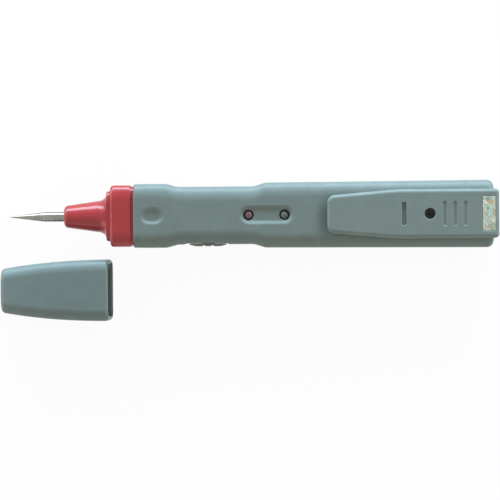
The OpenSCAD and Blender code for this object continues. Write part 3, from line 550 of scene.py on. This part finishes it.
GREY = grey("grey_plastic", (94, 111, 109), (100, 117, 115), 0.03)
CLIP_GREY = grey("clip_plastic", (99, 116, 114), (105, 122, 120), 0.02)
CAP_GREY = grey("cap_plastic", (91, 109, 109), (97, 115, 115), 0.03)
RED = moulded("red_plastic", (139, 32, 37), (148, 37, 42), (176, 80, 80), 0.34, 0.0004,
              grain_scale=800.0, wave=0.012, wear=0.3, gloss=0.3, coat=0.42)
STEEL = metal("needle_steel", (130, 129, 119), (150, 149, 140), 0.26, (1.0, 0.1, 0.1), 2600.0)
PLATED = metal("plated_steel", (150, 150, 148), (176, 176, 174), 0.3)
BRASS = metal("brass", (160, 130, 66), (190, 158, 90), 0.32)
BLACK = moulded("black_epoxy", (24, 25, 27), (32, 33, 35), (60, 60, 62), 0.5, 0.012)
# The buzzer's grey is raised as painted light, so that the shaded sound hole above it looks lighter.
BUZZER_PAINTED_LIGHT_GREY = moulded("buzzer_case", (126, 132, 134), (140, 146, 148), (160, 164, 166), 0.5, 0.012)
BOARD = moulded("green_board", (22, 82, 44), (30, 98, 54), (120, 130, 90), 0.35, 0.006)
TAN = moulded("tan_lacquer", (182, 150, 108), (196, 166, 124), (206, 184, 150), 0.3, 0.006)
BROWN = moulded("brown_ceramic", (150, 84, 36), (168, 98, 46), (186, 130, 80), 0.32, 0.008)
RED_EPOXY = lamp_epoxy("red_epoxy", LAMP_X[0], (86, 57, 60), (108, 76, 80))
GREEN_EPOXY = lamp_epoxy("green_epoxy", LAMP_X[1], (64, 84, 72), (84, 104, 90))
FOIL = foil("rainbow_foil")


def dress(ob, material, body, replaced=()):
    """Gives a piece its material and body, and hides the CAD nodes that it stands for."""
    ob.data.materials.clear()
    ob.data.materials.append(material)
    if body:
        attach(ob, body)
    if replaced:
        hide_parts(*replaced)
    return ob


# Casing


def casing_half_w(x):
    """Half width along the casing: front hump, waist, shoulder and tail."""
    if x < HUMP_END:
        return mix(FRONT_W, HUMP_W, smooth(x / HUMP_RISE)) / 2
    if x < WAIST_END:
        return mix(HUMP_W, WAIST_W, smooth((x - HUMP_END) / (WAIST_START - HUMP_END))) / 2
    shoulder = mix(WAIST_W, SHOULDER_W, smooth((x - WAIST_END) / (SHOULDER_END - WAIST_END)))
    return mix(shoulder, TAIL_W, np.clip((x - SHOULDER_END) / (CASING_LEN - SHOULDER_END), 0, 1)) / 2


def casing_top(x):
    return CASING_T - DECK_DROP * smooth((x - RAMP_X0) / (RAMP_X1 - RAMP_X0))


def pocket_depth(x, y, middle, length, width, depth, upper_slope):
    """Depth of a sunk pocket with round ends, steep on its lower side and soft on its upper side."""
    r = width / 2
    past = max(abs(x - middle) - (length / 2 - r), 0.0)
    slope = mix(LOWER_SLOPE, upper_slope, smooth(0.5 + y / r))
    return depth * smooth((r - np.hypot(past, y)) / slope)


def casing_ring(x, inset_w, inset_z):
    """One section of the casing, with the parting seam and the sunk pockets."""
    w, z0, z1, r = casing_half_w(x) - inset_w, inset_z, casing_top(x) - inset_z, EDGE_R
    rw = r * EDGE_WIDE
    turn = np.radians(np.linspace(0, 90, CORNER_POINTS))
    side = [(w, SPLIT_Z + SEAM_HALF_W), (w, mix(SPLIT_Z, z1 - r, 0.5))]
    corner = [(w - rw + rw * math.cos(a), z1 - r + r * math.sin(a)) for a in turn]
    flat = [(y, z1) for y in np.linspace(w - rw, rw - w, FLAT_POINTS)[1:-1]]
    upper = side + corner + flat + [(-y, z) for y, z in corner[::-1]] + [(-y, z) for y, z in side[::-1]]
    low_corner = [(w - rw + rw * math.cos(a), z0 + r - r * math.sin(a)) for a in turn]
    low_side = [(w, SPLIT_Z - SEAM_HALF_W), (w, mix(SPLIT_Z, z0 + r, 0.5))]
    low_flat = [(y, z0) for y in np.linspace(rw - w, w - rw, LOW_FLAT_POINTS)[1:-1]]
    left = [(-y, z) for y, z in low_side + low_corner]
    right = (low_side + low_corner)[::-1]
    ring = [(w - SEAM_DEPTH, SPLIT_Z)] + upper + [(SEAM_DEPTH - w, SPLIT_Z)] + left + low_flat + right
    sunk = []
    for y, z in ring:
        if z > z1 - 1e-6:
            z -= pocket_depth(x, y, TRACK_X, TRACK_LEN, TRACK_W, TRACK_DEPTH, TRACK_UPPER_SLOPE)
            z -= pocket_depth(x, y, DIMPLE_X, DIMPLE_LEN, DIMPLE_W, DIMPLE_DEPTH, DIMPLE_UPPER_SLOPE)
        sunk.append((y, z))
    return at_x(x, sunk)


def casing_outside():
    stations = [(into, inset, inset) for into, inset in rounding(FRONT_R, 5)]
    for start, end, spacing in SECTION_RUNS:
        stations += [(x, 0.0, 0.0) for x in np.arange(start, end, spacing)]
    stations += [
        (CASING_LEN - into, inset, inset * TAIL_EDGE_R / TAIL_CORNER_R)
        for into, inset in rounding(TAIL_CORNER_R, 12)[::-1]
    ]
    return skin("casing", [casing_ring(*s) for s in stations])


def casing_hollow():
    return skin("hollow", [
        at_x(x, rounded_ring(casing_half_w(x) - WALL, WALL, casing_top(x) - WALL, EDGE_R - WALL, 5))
        for x in np.linspace(WALL, CASING_LEN - END_WALL, HOLLOW_SECTIONS)
    ])


def bar(x0, x1, w, h, r):
    """Bar with rounded long edges around the split height."""
    rings = [at_x(x, rounded_ring(w / 2, SPLIT_Z - h / 2, SPLIT_Z + h / 2, r)) for x in (x0, x1)]
    return skin("bar", rings)


def shell_openings(ob):
    """Cuts that both shells share: the nose's seat and the switch recess with its slit."""
    cut(ob, bar(-PAST, WALL + 0.5, FLANGE_W + SPIGOT_PLAY, SPIGOT_H + SPIGOT_PLAY, FLANGE_EDGE_R))
    y = -WAIST_W / 2
    outline = rounded_plan(SWITCH_X0, SWITCH_X0 + SWITCH_LEN, SWITCH_H / 2, SWITCH_CORNER_R)
    levels = ((y - PAST, -0.25), (y - 0.02, -0.12), (y + 0.1, 0.0), (y + SWITCH_DEPTH, 0.0))
    cut(ob, skin("recess", [
        [(along, depth, SPLIT_Z + up) for along, up in outline(inset)] for depth, inset in levels
    ]))
    cut(ob, block(SLIT_X0, SLIT_X1, y - PAST, y + SLIT_DEPTH, SPLIT_Z - SLIT_HALF_H, SPLIT_Z + SLIT_HALF_H))


def casing_half(z0, z1):
    """What of the outer casing lies outside z0 to z1."""
    ob = casing_outside()
    return cut(ob, block(-5 * PAST, CASING_LEN + 5 * PAST, -TAIL_W, TAIL_W, z0, z1))


def upper_shell():
    ob = casing_half(-5 * PAST, SPLIT_Z)
    hollow = casing_hollow()
    under = CASING_T - WALL - BACKING_T
    for x, (half_len, half_w) in ((TRACK_X, TRACK_BACKING_HALF), (DIMPLE_X, DIMPLE_BACKING_HALF)):
        cut(hollow, block(x - half_len, x + half_len, -half_w, half_w, under, CASING_T))
    cut(ob, hollow)
    wide_r = LAMP_HOLE_R + LAMP_HOLE_CHAMFER
    for x in LAMP_X:
        profile = [(-4 * PAST, LAMP_HOLE_R), (-0.12, LAMP_HOLE_R), (0.03, wide_r), (2 * PAST, wide_r)]
        cut(ob, revolve("hole", profile, x, z=CASING_T - TRACK_DEPTH, axis="Z"))
    shell_openings(ob)
    hook_half_w = HOOK_OUT + HOOK_PLAY
    for x0, half_w in ((CUT_X0, CUT_HALF_W), (CASING_LEN - HOOK_NOTCH_LEN, hook_half_w)):
        cut(ob, block(x0, CASING_LEN + 2 * PAST, -half_w, half_w, CUT_Z0, CASING_T + 2 * PAST))
    return dress(shade(ob), GREY, "casing", ["upper_shell"])


def lower_shell():
    ob = casing_half(SPLIT_Z, CASING_T + PAST)
    cut(ob, casing_hollow())
    shell_openings(ob)
    wide_r = SEAT_R + SEAT_CHAMFER
    seat = [(-PAST, wide_r), (-0.02, wide_r), (SEAT_CHAMFER, SEAT_R), (SEAT_DEPTH, SEAT_R)]
    for x in SCREW_X:
        join(ob, revolve("boss", [(BOSS_Z0, BOSS_R), (SPLIT_Z, BOSS_R)], x, z=0.0, axis="Z"))
        profile = seat + [(SEAT_DEPTH, PILOT_R), (PILOT_END, PILOT_R)]
        cut(ob, revolve("screw_hole", profile, x, z=0.0, axis="Z"))
    for y in (-CRADLE_Y, CRADLE_Y):
        y0, y1 = y - CRADLE_T / 2, y + CRADLE_T / 2
        join(ob, block(CRADLE_X0, CRADLE_X1, y0, y1, CRADLE_Z0, SPLIT_Z - 0.05))
    return dress(shade(ob), GREY, "casing", ["lower_shell"])


def centred_ring(x, half_w, half_h, r, steps=16, wide=1.0):
    return at_x(x, rounded_ring(half_w, SPLIT_Z - half_h, SPLIT_Z + half_h, r, steps, wide))


def nose():
    """Cone, flare and flange as one skin, then the collar, the neck in the groove and the spigot."""
    rings = [
        centred_ring(NOSE_X0 + into, CONE_FRONT_R - inset, CONE_FRONT_R - inset, CONE_FRONT_R - inset)
        for into, inset in rounding(CONE_R, 10)
    ]
    for t in np.linspace(0.06, 1, 14):
        r = mix(CONE_FRONT_R, CONE_REAR_R, t)
        rings.append(centred_ring(mix(NOSE_X0 + CONE_R, FLARE_X0, t), r, r, r))

    def half_h_at(x):
        return mix(CONE_REAR_R, FLANGE_H / 2, smooth((x - FLARE_X0) / (FLANGE_X0 + FLANGE_R - FLARE_X0)))

    for turn in np.radians(np.linspace(6, 90, 15)):
        grown = 1 - math.cos(turn)
        x = mix(FLARE_X0, FLANGE_X0, math.sin(turn))
        half_w, half_h = mix(CONE_REAR_R, FLANGE_W / 2 - FLANGE_R, grown), half_h_at(x)
        r = min(mix(CONE_REAR_R, FLANGE_EDGE_R, grown), half_w, half_h)
        rings.append(centred_ring(x, half_w, half_h, r, wide=mix(1.0, FLANGE_WIDE, grown)))
    flange = [(FLANGE_X0 + into, inset) for into, inset in rounding(FLANGE_R, 5)[1:]]
    for x, inset in flange + [(COLLAR_X0 + NOSE_OVERLAP, 0.0)]:
        rings.append(centred_ring(x, FLANGE_W / 2 - inset, half_h_at(x), FLANGE_EDGE_R, wide=FLANGE_WIDE))
    ob = skin("nose", rings)
    ends = [(COLLAR_X0 + into, inset) for into, inset in rounding(COLLAR_FRONT_R, 8)]
    ends += [(COLLAR_X1 - into, inset) for into, inset in rounding(COLLAR_REAR_R, 4)[::-1]]
    join(ob, skin("collar", [
        centred_ring(x, COLLAR_W / 2 - inset, COLLAR_H / 2 - inset, COLLAR_EDGE_R, wide=COLLAR_WIDE)
        for x, inset in ends
    ]))
    x0, neck_w, neck_h = COLLAR_X1 - NOSE_OVERLAP, COLLAR_W - 2 * NECK_INSET, COLLAR_H - 2 * NECK_DROP
    join(ob, bar(x0, -NECK_AIR, neck_w, neck_h, COLLAR_EDGE_R))
    join(ob, bar(x0, SPIGOT_X1, FLANGE_W, SPIGOT_H, FLANGE_EDGE_R))
    cut(ob, revolve("bore", [(-PAST, BORE_R), (BORE_LEN, BORE_R)], NOSE_X0))
    return dress(shade(ob), RED, "casing", ["nose_cone"])


def needle():
    """Needle with a slightly blunt tip, thinner where the nose holds it."""
    shown = NOSE_X0 - NEEDLE_X0
    profile = [(0.0, 0.02), (0.03, 0.07), (TIP_LEN, TIP_R)]
    profile += [(mix(TIP_LEN, POINT_LEN, t), mix(TIP_R, NEEDLE_R, t)) for t in np.linspace(0.05, 1, 14)]
    profile += [(POINT_LEN + 0.15, NEEDLE_R), (shown, NEEDLE_R)]
    profile += [(shown + 0.001, NEEDLE_REAR_R), (NEEDLE_X1 - NEEDLE_X0, NEEDLE_REAR_R)]
    ob = revolve("needle", profile, NEEDLE_X0, sides=72)
    return dress(shade(ob, 30.0), STEEL, "casing", ["probe_pin"])


def lamp(name, x, material):
    """Round lamp with a dome on top and a rim around its foot."""
    profile = [(-LAMP_LEN, LAMP_RIM_R), (-LAMP_RIM_TOP, LAMP_RIM_R)]
    profile += [(-LAMP_RIM_TOP, LAMP_R), (-LAMP_R, LAMP_R)]
    dome = np.radians(np.linspace(8, 90, 12))
    profile += [(-LAMP_R + LAMP_R * math.sin(a), max(LAMP_R * math.cos(a), 0.002)) for a in dome]
    ob = revolve(name, profile, x, z=LAMP_TOP, axis="Z", sides=48)
    return dress(shade(ob, 30.0), material, "casing", [name.replace("lamp", "led")])


def knob():
    """Slide knob with three wide ribs and a slope at each end."""
    x0, x1 = KNOB_LOW[0] - FRONT_X, KNOB_HIGH[0] - FRONT_X
    y_out, y_floor = KNOB_LOW[1], SWITCH_DEPTH - KNOB_FLOOR_DROP - WAIST_W / 2
    middle, half = (x0 + x1) / 2, (x1 - x0) / 2
    profile = []
    for x in np.linspace(x0, x1, 121):
        away = abs(x - middle)
        gap = RIB_GAP_DEPTH * smooth(RIB_STEEPNESS * (1 - abs(away - RIB_PITCH / 2) / (RIB_GAP_W / 2)))
        end = KNOB_END_DROP * smooth((away - KNOB_FLAT) / (half - KNOB_FLAT))
        profile.append((x, y_out + max(gap, end)))
    ring = profile + [(x1, y_floor), (x0, y_floor)]
    ends = rounding(KNOB_EDGE_R, 5)
    levels = [(KNOB_LOW[2] + into, inset) for into, inset in ends]
    levels += [(KNOB_HIGH[2] - into, inset) for into, inset in ends[::-1]]
    rings = []
    for z, inset in levels:
        in_x, in_y = 0.5 * inset / half, min(inset, KNOB_EDGE_DROP)
        rings.append([(mix(x, middle, in_x), mix(y, y_floor, in_y), z) for x, y in ring])
    ob = skin("knob", rings)
    stem_z = (SPLIT_Z - STEM_HALF_H, SPLIT_Z + STEM_HALF_H)
    join(ob, block(x0 + STEM_FROM, x0 + STEM_TO, y_floor - 0.1, y_floor + STEM_LEN, *stem_z))
    return dress(shade(ob, 35.0), CLIP_GREY, "slide_knob", ["switch_knob"])


def smooth_taper(t):
    """Straight taper from 0 to 1 that eases into the parallel part around 1."""
    t = float(np.clip(t, 0, 1 + TAPER_EASE))
    if t < 1 - TAPER_EASE:
        return t
    return 1.0 - (1 + TAPER_EASE - t) ** 2 / (4 * TAPER_EASE)


def clip_outline(inset):
    """Plan outline of clip and cover, moved in by the inset."""
    half_tip, half = CLIP_TIP_W / 2, COVER_W / 2
    taper_x = CLIP_X0 + CLIP_CORNER_R

    def half_at(x):
        return mix(half_tip, half, smooth_taper((x - taper_x) / (HINGE_X - taper_x)))

    points = []
    r = CLIP_CORNER_R - inset
    for a in np.linspace(math.pi / 2, 0, 13):
        points.append((taper_x - r * math.sin(a), half_tip - CLIP_CORNER_R + r * math.cos(a)))
    for x in np.linspace(taper_x, HINGE_X + 3.0, 40)[1:]:
        points.append((x, half_at(x) - inset))
    r = COVER_CORNER_R - inset
    corner_x, corner_y = COVER_X1 - COVER_CORNER_R, half - COVER_CORNER_R
    for a in np.linspace(0, math.pi / 2, 9):
        points.append((corner_x + r * math.sin(a), corner_y + r * math.cos(a)))
    return [(x, -y) for x, y in points] + [(x, y) for x, y in points[::-1]]


def cover_solid():
    """Clip and cover with the filled back edge, the hooked rails and the bump under the clip's tip."""
    thin = COVER_TOP - CLIP_T
    levels = [(thin, UNDER_CHAMFER), (thin + UNDER_CHAMFER, 0.0)]
    levels += [(COVER_TOP - into, inset) for into, inset in rounding(COVER_EDGE_R, 8)[::-1]]
    ob = stack("clip_and_cover", clip_outline, levels)
    thick = rounded_plan(HINGE_X + ROOT_LEN, COVER_X1, COVER_W / 2, COVER_CORNER_R)
    levels = [(COVER_Z0, UNDER_CHAMFER), (COVER_Z0 + UNDER_CHAMFER, 0.0), (thin + 0.5, 0.0)]
    join(ob, stack("thick", thick, levels))
    tail_half = 0.97 * (COVER_W - 2 * COVER_CORNER_R) / 2
    join(ob, block(COVER_X1 - 0.7, COVER_X1 - 0.02, -tail_half, tail_half, HOOK_Z0, COVER_TOP - 1.2))
    join(ob, block(CASING_LEN - 1.2, COVER_X1 - 0.65, -HOOK_OUT, HOOK_OUT, HOOK_Z0, COVER_TOP - 1.3))
    for side in (-1, 1):
        for out, z1 in ((RAIL_OUT, COVER_Z0 + 0.6), (HOOK_OUT, HOOK_Z1)):
            y0, y1 = sorted((side * RAIL_IN, side * out))
            join(ob, block(RAIL_X0, RAIL_X1, y0, y1, HOOK_Z0, z1))
    bump_z = DECK_Z + BUMP_AIR + BUMP_R
    turn = np.linspace(0, 2 * math.pi, 33)[:-1]
    return join(ob, skin("bump", [
        [(BUMP_X + BUMP_R * math.cos(a), y, bump_z + BUMP_R * math.sin(a)) for a in turn]
        for y in (-BUMP_HALF_W, BUMP_HALF_W)
    ]))


def cover_details(ob, top):
    """Cuts the blind slot, the sound hole, the grip grooves and the label's recess into the top."""
    above = top + PAST
    levels = [(top - SLOT_DEPTH, 0.0), (top - 0.35, 0.0), (top - 0.1, -0.08), (top, -0.2), (above, -0.2)]
    cut(ob, stack("slot", obround(SLOT_X, 0.0, SLOT_LEN, SLOT_W), levels))
    wide_r = HOLE_R + HOLE_CHAMFER
    profile = [(-4 * PAST, HOLE_R), (-0.22, HOLE_R), (0.0, wide_r), (PAST, wide_r)]
    cut(ob, revolve("hole", profile, HOLE_X, z=top, axis="Z"))
    turn = np.radians(np.linspace(8, 86, 9))
    levels = [(top - GRIP_DEPTH * math.cos(a), GRIP_W / 2 * (1 - math.sin(a))) for a in turn]
    levels += [(top + 0.02, -0.06), (above, -0.06)]
    for i in range(GRIP_COUNT):
        cut(ob, stack("grip", obround(GRIP_X + i * GRIP_PITCH, 0.0, GRIP_LEN, GRIP_W), levels))
    x0, x1 = LABEL_X1 - LABEL_W - LABEL_MARGIN, LABEL_X1 + LABEL_MARGIN / 2
    recess = rounded_plan(x0, x1, LABEL_LEN / 2 + LABEL_MARGIN, 0.3)
    levels = [(top - LABEL_RECESS, 0.0), (top - 0.1, 0.0), (top, -0.1), (above, -0.1)]
    cut(ob, stack("recess", recess, levels))


def clip_and_cover():
    """One moulding: the springy clip and the sliding cover, with extra cuts across the clip's root, where
    the clip flexes.
    """
    ob = cover_solid()
    cover_details(ob, COVER_TOP)
    bm = bmesh.new()
    bm.from_mesh(ob.data)
    for x in np.linspace(BEND_X0, BEND_X1, BEND_CUTS):
        whole = bm.verts[:] + bm.edges[:] + bm.faces[:]
        place = to_metres([x, 0.0, 0.0]).tolist()
        bmesh.ops.bisect_plane(bm, geom=whole, plane_co=place, plane_no=(1.0, 0.0, 0.0), dist=1e-7)
    bm.to_mesh(ob.data)
    bm.free()
    dress(shade(ob), CLIP_GREY, None, ["battery_cover", "pocket_clip"])
    start = to_metres([BEND_X1, 0.0, COVER_TOP]).tolist()
    end = to_metres([BEND_X0, 0.0, COVER_TOP]).tolist()
    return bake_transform(ob)


def label():
    z = COVER_TOP - LABEL_RECESS
    outline = rounded_plan(LABEL_X1 - LABEL_W, LABEL_X1, LABEL_LEN / 2, 0.15)
    ob = stack("foil_sheet", outline, [(z, 0.0), (z + LABEL_T - 0.02, 0.0), (z + LABEL_T, 0.02)])
    return dress(shade(ob), FOIL, "cover", ["foil_label"])


def cap():
    """Hollow cap. Its mouth leans back a little, as a tapered cap's does when it lies on its side."""
    x0 = CAP_LOW[0] - FRONT_X
    middle = (CAP_LOW[1] + CAP_HIGH[1]) / 2

    def ring(t, inset, wall):
        share = (1 - min(max(t / CAP_LEN, 0.0), 1.0)) ** CAP_CURVE
        half = mix(CAP_MOUTH_W, CAP_TIP_W, share) / 2 - inset - wall
        z0, z1 = inset + wall, mix(CAP_MOUTH_H, CAP_TIP_H, share) - inset - wall
        r = min(CAP_EDGE_R - wall, half * 0.98, (z1 - z0) / 2 * 0.98)
        lean = CAP_LEAN * smooth((t - CAP_LEN + CAP_LEAN_LEN) / CAP_LEAN_LEN) / CAP_MOUTH_H
        return [(x0 + t - lean * z, middle + y, z) for y, z in rounded_ring(half, z0, z1, r, 10, CAP_WIDE)]

    rings = [ring(into, inset, 0.0) for into, inset in rounding(CAP_TIP_R, 8)]
    rings += [ring(t, 0.0, 0.0) for t in np.linspace(CAP_TIP_R, CAP_LEN - CAP_RIM_R, CAP_STEPS)[1:]]
    rings += [ring(CAP_LEN - into, inset, 0.0) for into, inset in rounding(CAP_RIM_R, 6)[::-1]][1:]
    rings += [ring(CAP_LEN - into, -inset, CAP_WALL) for into, inset in rounding(CAP_INNER_R, 3)]
    inside = np.linspace(CAP_LEN - CAP_INNER_R, CAP_WALL, CAP_INNER_STEPS)[1:]
    rings += [ring(t, 0.0, CAP_WALL) for t in inside]
    ob = skin("cap_shell", rings)
    return dress(shade(ob), CAP_GREY, "push_cap", ["cap"])


def screws():
    """Two screws from the back, each with a crossed recess in its rounded head."""
    made = None
    z0 = SCREW_LOW[2]
    profile = [(0.0, 1.2), (0.0, 1.55), (0.12, 1.8), (0.35, SCREW_HEAD_R), (SCREW_HEAD_T, SCREW_HEAD_R)]
    profile += [(SCREW_HEAD_T, SCREW_R), (SCREW_LEN, SCREW_R)]
    for x in SCREW_X:
        ob = revolve("screws", profile, x, z=z0, axis="Z", sides=48)
        for half_x, half_y in ((CROSS_HALF_LEN, CROSS_HALF_W), (CROSS_HALF_W, CROSS_HALF_LEN)):
            cut(ob, block(x - half_x, x + half_x, -half_y, half_y, z0 - PAST, z0 + CROSS_DEPTH))
        made = ob if made is None else join(made, ob)
    return dress(shade(made, 30.0), PLATED, "casing", ["shell_screws"])


upper_shell()
lower_shell()
nose()
needle()
lamp("lamp_red", LAMP_X[0], RED_EPOXY)
lamp("lamp_green", LAMP_X[1], GREEN_EPOXY)
knob()
clip_and_cover()
label()
cap()
screws()

# Inner pieces stay as the CAD made them, with their own materials
INNER = {
    PLATED: ["contact_spring", "switch_housing", "cell_front", "cell_rear", "battery_spring"],
    BRASS: ["pin_ferrule", "contact_tab", "negative_contact", "positive_contact"],
    BLACK: ["ic_chip", "transistor", "chip_resistors"],
    BUZZER_PAINTED_LIGHT_GREY: ["buzzer"],
    BOARD: ["circuit_board"],
    TAN: ["input_resistors"],
    BROWN: ["ceramic_capacitor"],
}
for material, names in INNER.items():
    for name in names:
        node = frame["nodes"][name]
        node.data.materials.clear()
        node.data.materials.append(material)


def seen(tree):
    """1 for what the camera, a reflection or a clear material sees, 0 for light on the object."""
    ray = put(tree, "LightPath").outputs
    shine = put(tree, "Math", {0: ray["Is Glossy Ray"], 1: ray["Is Transmission Ray"]}, operation="MAXIMUM")
    return put(tree, "Math", {0: ray["Is Camera Ray"], 1: shine.outputs[0]}, operation="MAXIMUM").outputs[0]


# Pale floor, nearly white where it is seen and keeping a soft shadow
FLOOR_HALF = 3.0
FLOOR_Z = -0.0001
FLOOR_WHITE_SHARE = 0.94
floor_mesh = bpy.data.meshes.new("floor")
corners = [(sx * FLOOR_HALF, sy * FLOOR_HALF, FLOOR_Z) for sx, sy in ((-1, -1), (1, -1), (1, 1), (-1, 1))]
floor_mesh.from_pydata(corners, [], [(0, 1, 2, 3)])
floor = bpy.data.objects.new("floor", floor_mesh)
bpy.context.scene.collection.objects.link(floor)
floor_mat = bpy.data.materials.new("white_floor")
tree = empty_tree(floor_mat)
matt = put(tree, "BsdfDiffuse", {"Color": (0.82, 0.81, 0.79, 1.0)})
glow = put(tree, "Emission", {"Strength": 1.0})
share = times(tree, seen(tree), FLOOR_WHITE_SHARE)
surface = put(tree, "MixShader", {0: share, 1: matt.outputs[0], 2: glow.outputs[0]})
put(tree, "OutputMaterial", {"Surface": surface.outputs[0]})
floor_mesh.materials.append(floor_mat)

# World: even warm fill on the object, white where it is seen
WORLD_FILL = 0.53
world = bpy.data.worlds.new("studio")
bpy.context.scene.world = world
tree = empty_tree(world)
soft = put(tree, "Background", {"Color": (1.14, 1.0, 0.87, 1.0), "Strength": WORLD_FILL})
white = put(tree, "Background", {"Color": (1.0, 1.0, 1.0, 1.0), "Strength": 1.0})
sky = put(tree, "MixShader", {0: seen(tree), 1: soft.outputs[0], 2: white.outputs[0]})
put(tree, "OutputWorld", {"Surface": sky.outputs[0]})


def softbox(name, place, size, power, colour):
    """Area light at a place, aimed at the middle of the tester."""
    data = bpy.data.lights.new(name, "AREA")
    data.shape = "RECTANGLE"
    data.size, data.size_y = size
    data.energy = power
    data.color = colour
    light = bpy.data.objects.new(name, data)
    light.location = place
    light.rotation_euler = (Vector(LIGHT_TARGET) - Vector(place)).to_track_quat("-Z", "Y").to_euler()
    bpy.context.scene.collection.objects.link(light)


LIGHT_TARGET = (-0.02, 0.0, 0.005)

# One long low softbox along the upper side of the picture, a dim one opposite, and one past each end
softbox("key", (-0.02, 0.5, 0.13), (2.0, 0.2), 15.3, (0.83, 1.0, 1.17))
softbox("low_fill", (-0.02, -0.5, 0.13), (1.6, 0.12), 0.55, (1.1, 1.0, 0.9))
for side in (-1, 1):
    softbox("end_fill", (-0.02 + side * 0.55, 0.0, 0.16), (0.6, 0.3), 0.9, (1.04, 1.0, 0.95))

# Camera: straight down, at the photograph's scale, framing and slight roll
PHOTO_MM_PER_PIXEL = 0.31
PHOTO_PIXELS = 500
PHOTO_MIDDLE_X = -19.68
PHOTO_MIDDLE_Y = -10.72
PHOTO_ROLL_DEG = -0.43
CAMERA_HEIGHT = 600.0
SENSOR_W = 36.0
camera_data = bpy.data.cameras.new("camera")
camera = bpy.data.objects.new("camera", camera_data)
bpy.context.scene.collection.objects.link(camera)
camera.location = (PHOTO_MIDDLE_X * MM, PHOTO_MIDDLE_Y * MM, CAMERA_HEIGHT * MM)
camera.rotation_euler = (0.0, 0.0, math.radians(PHOTO_ROLL_DEG))
camera_data.sensor_width = SENSOR_W
camera_data.lens = SENSOR_W * (CAMERA_HEIGHT - SPLIT_Z) / (PHOTO_MM_PER_PIXEL * PHOTO_PIXELS)
camera_data.clip_start = 0.01
bpy.context.scene.camera = camera
bpy.context.scene.view_settings.view_transform = "Standard"
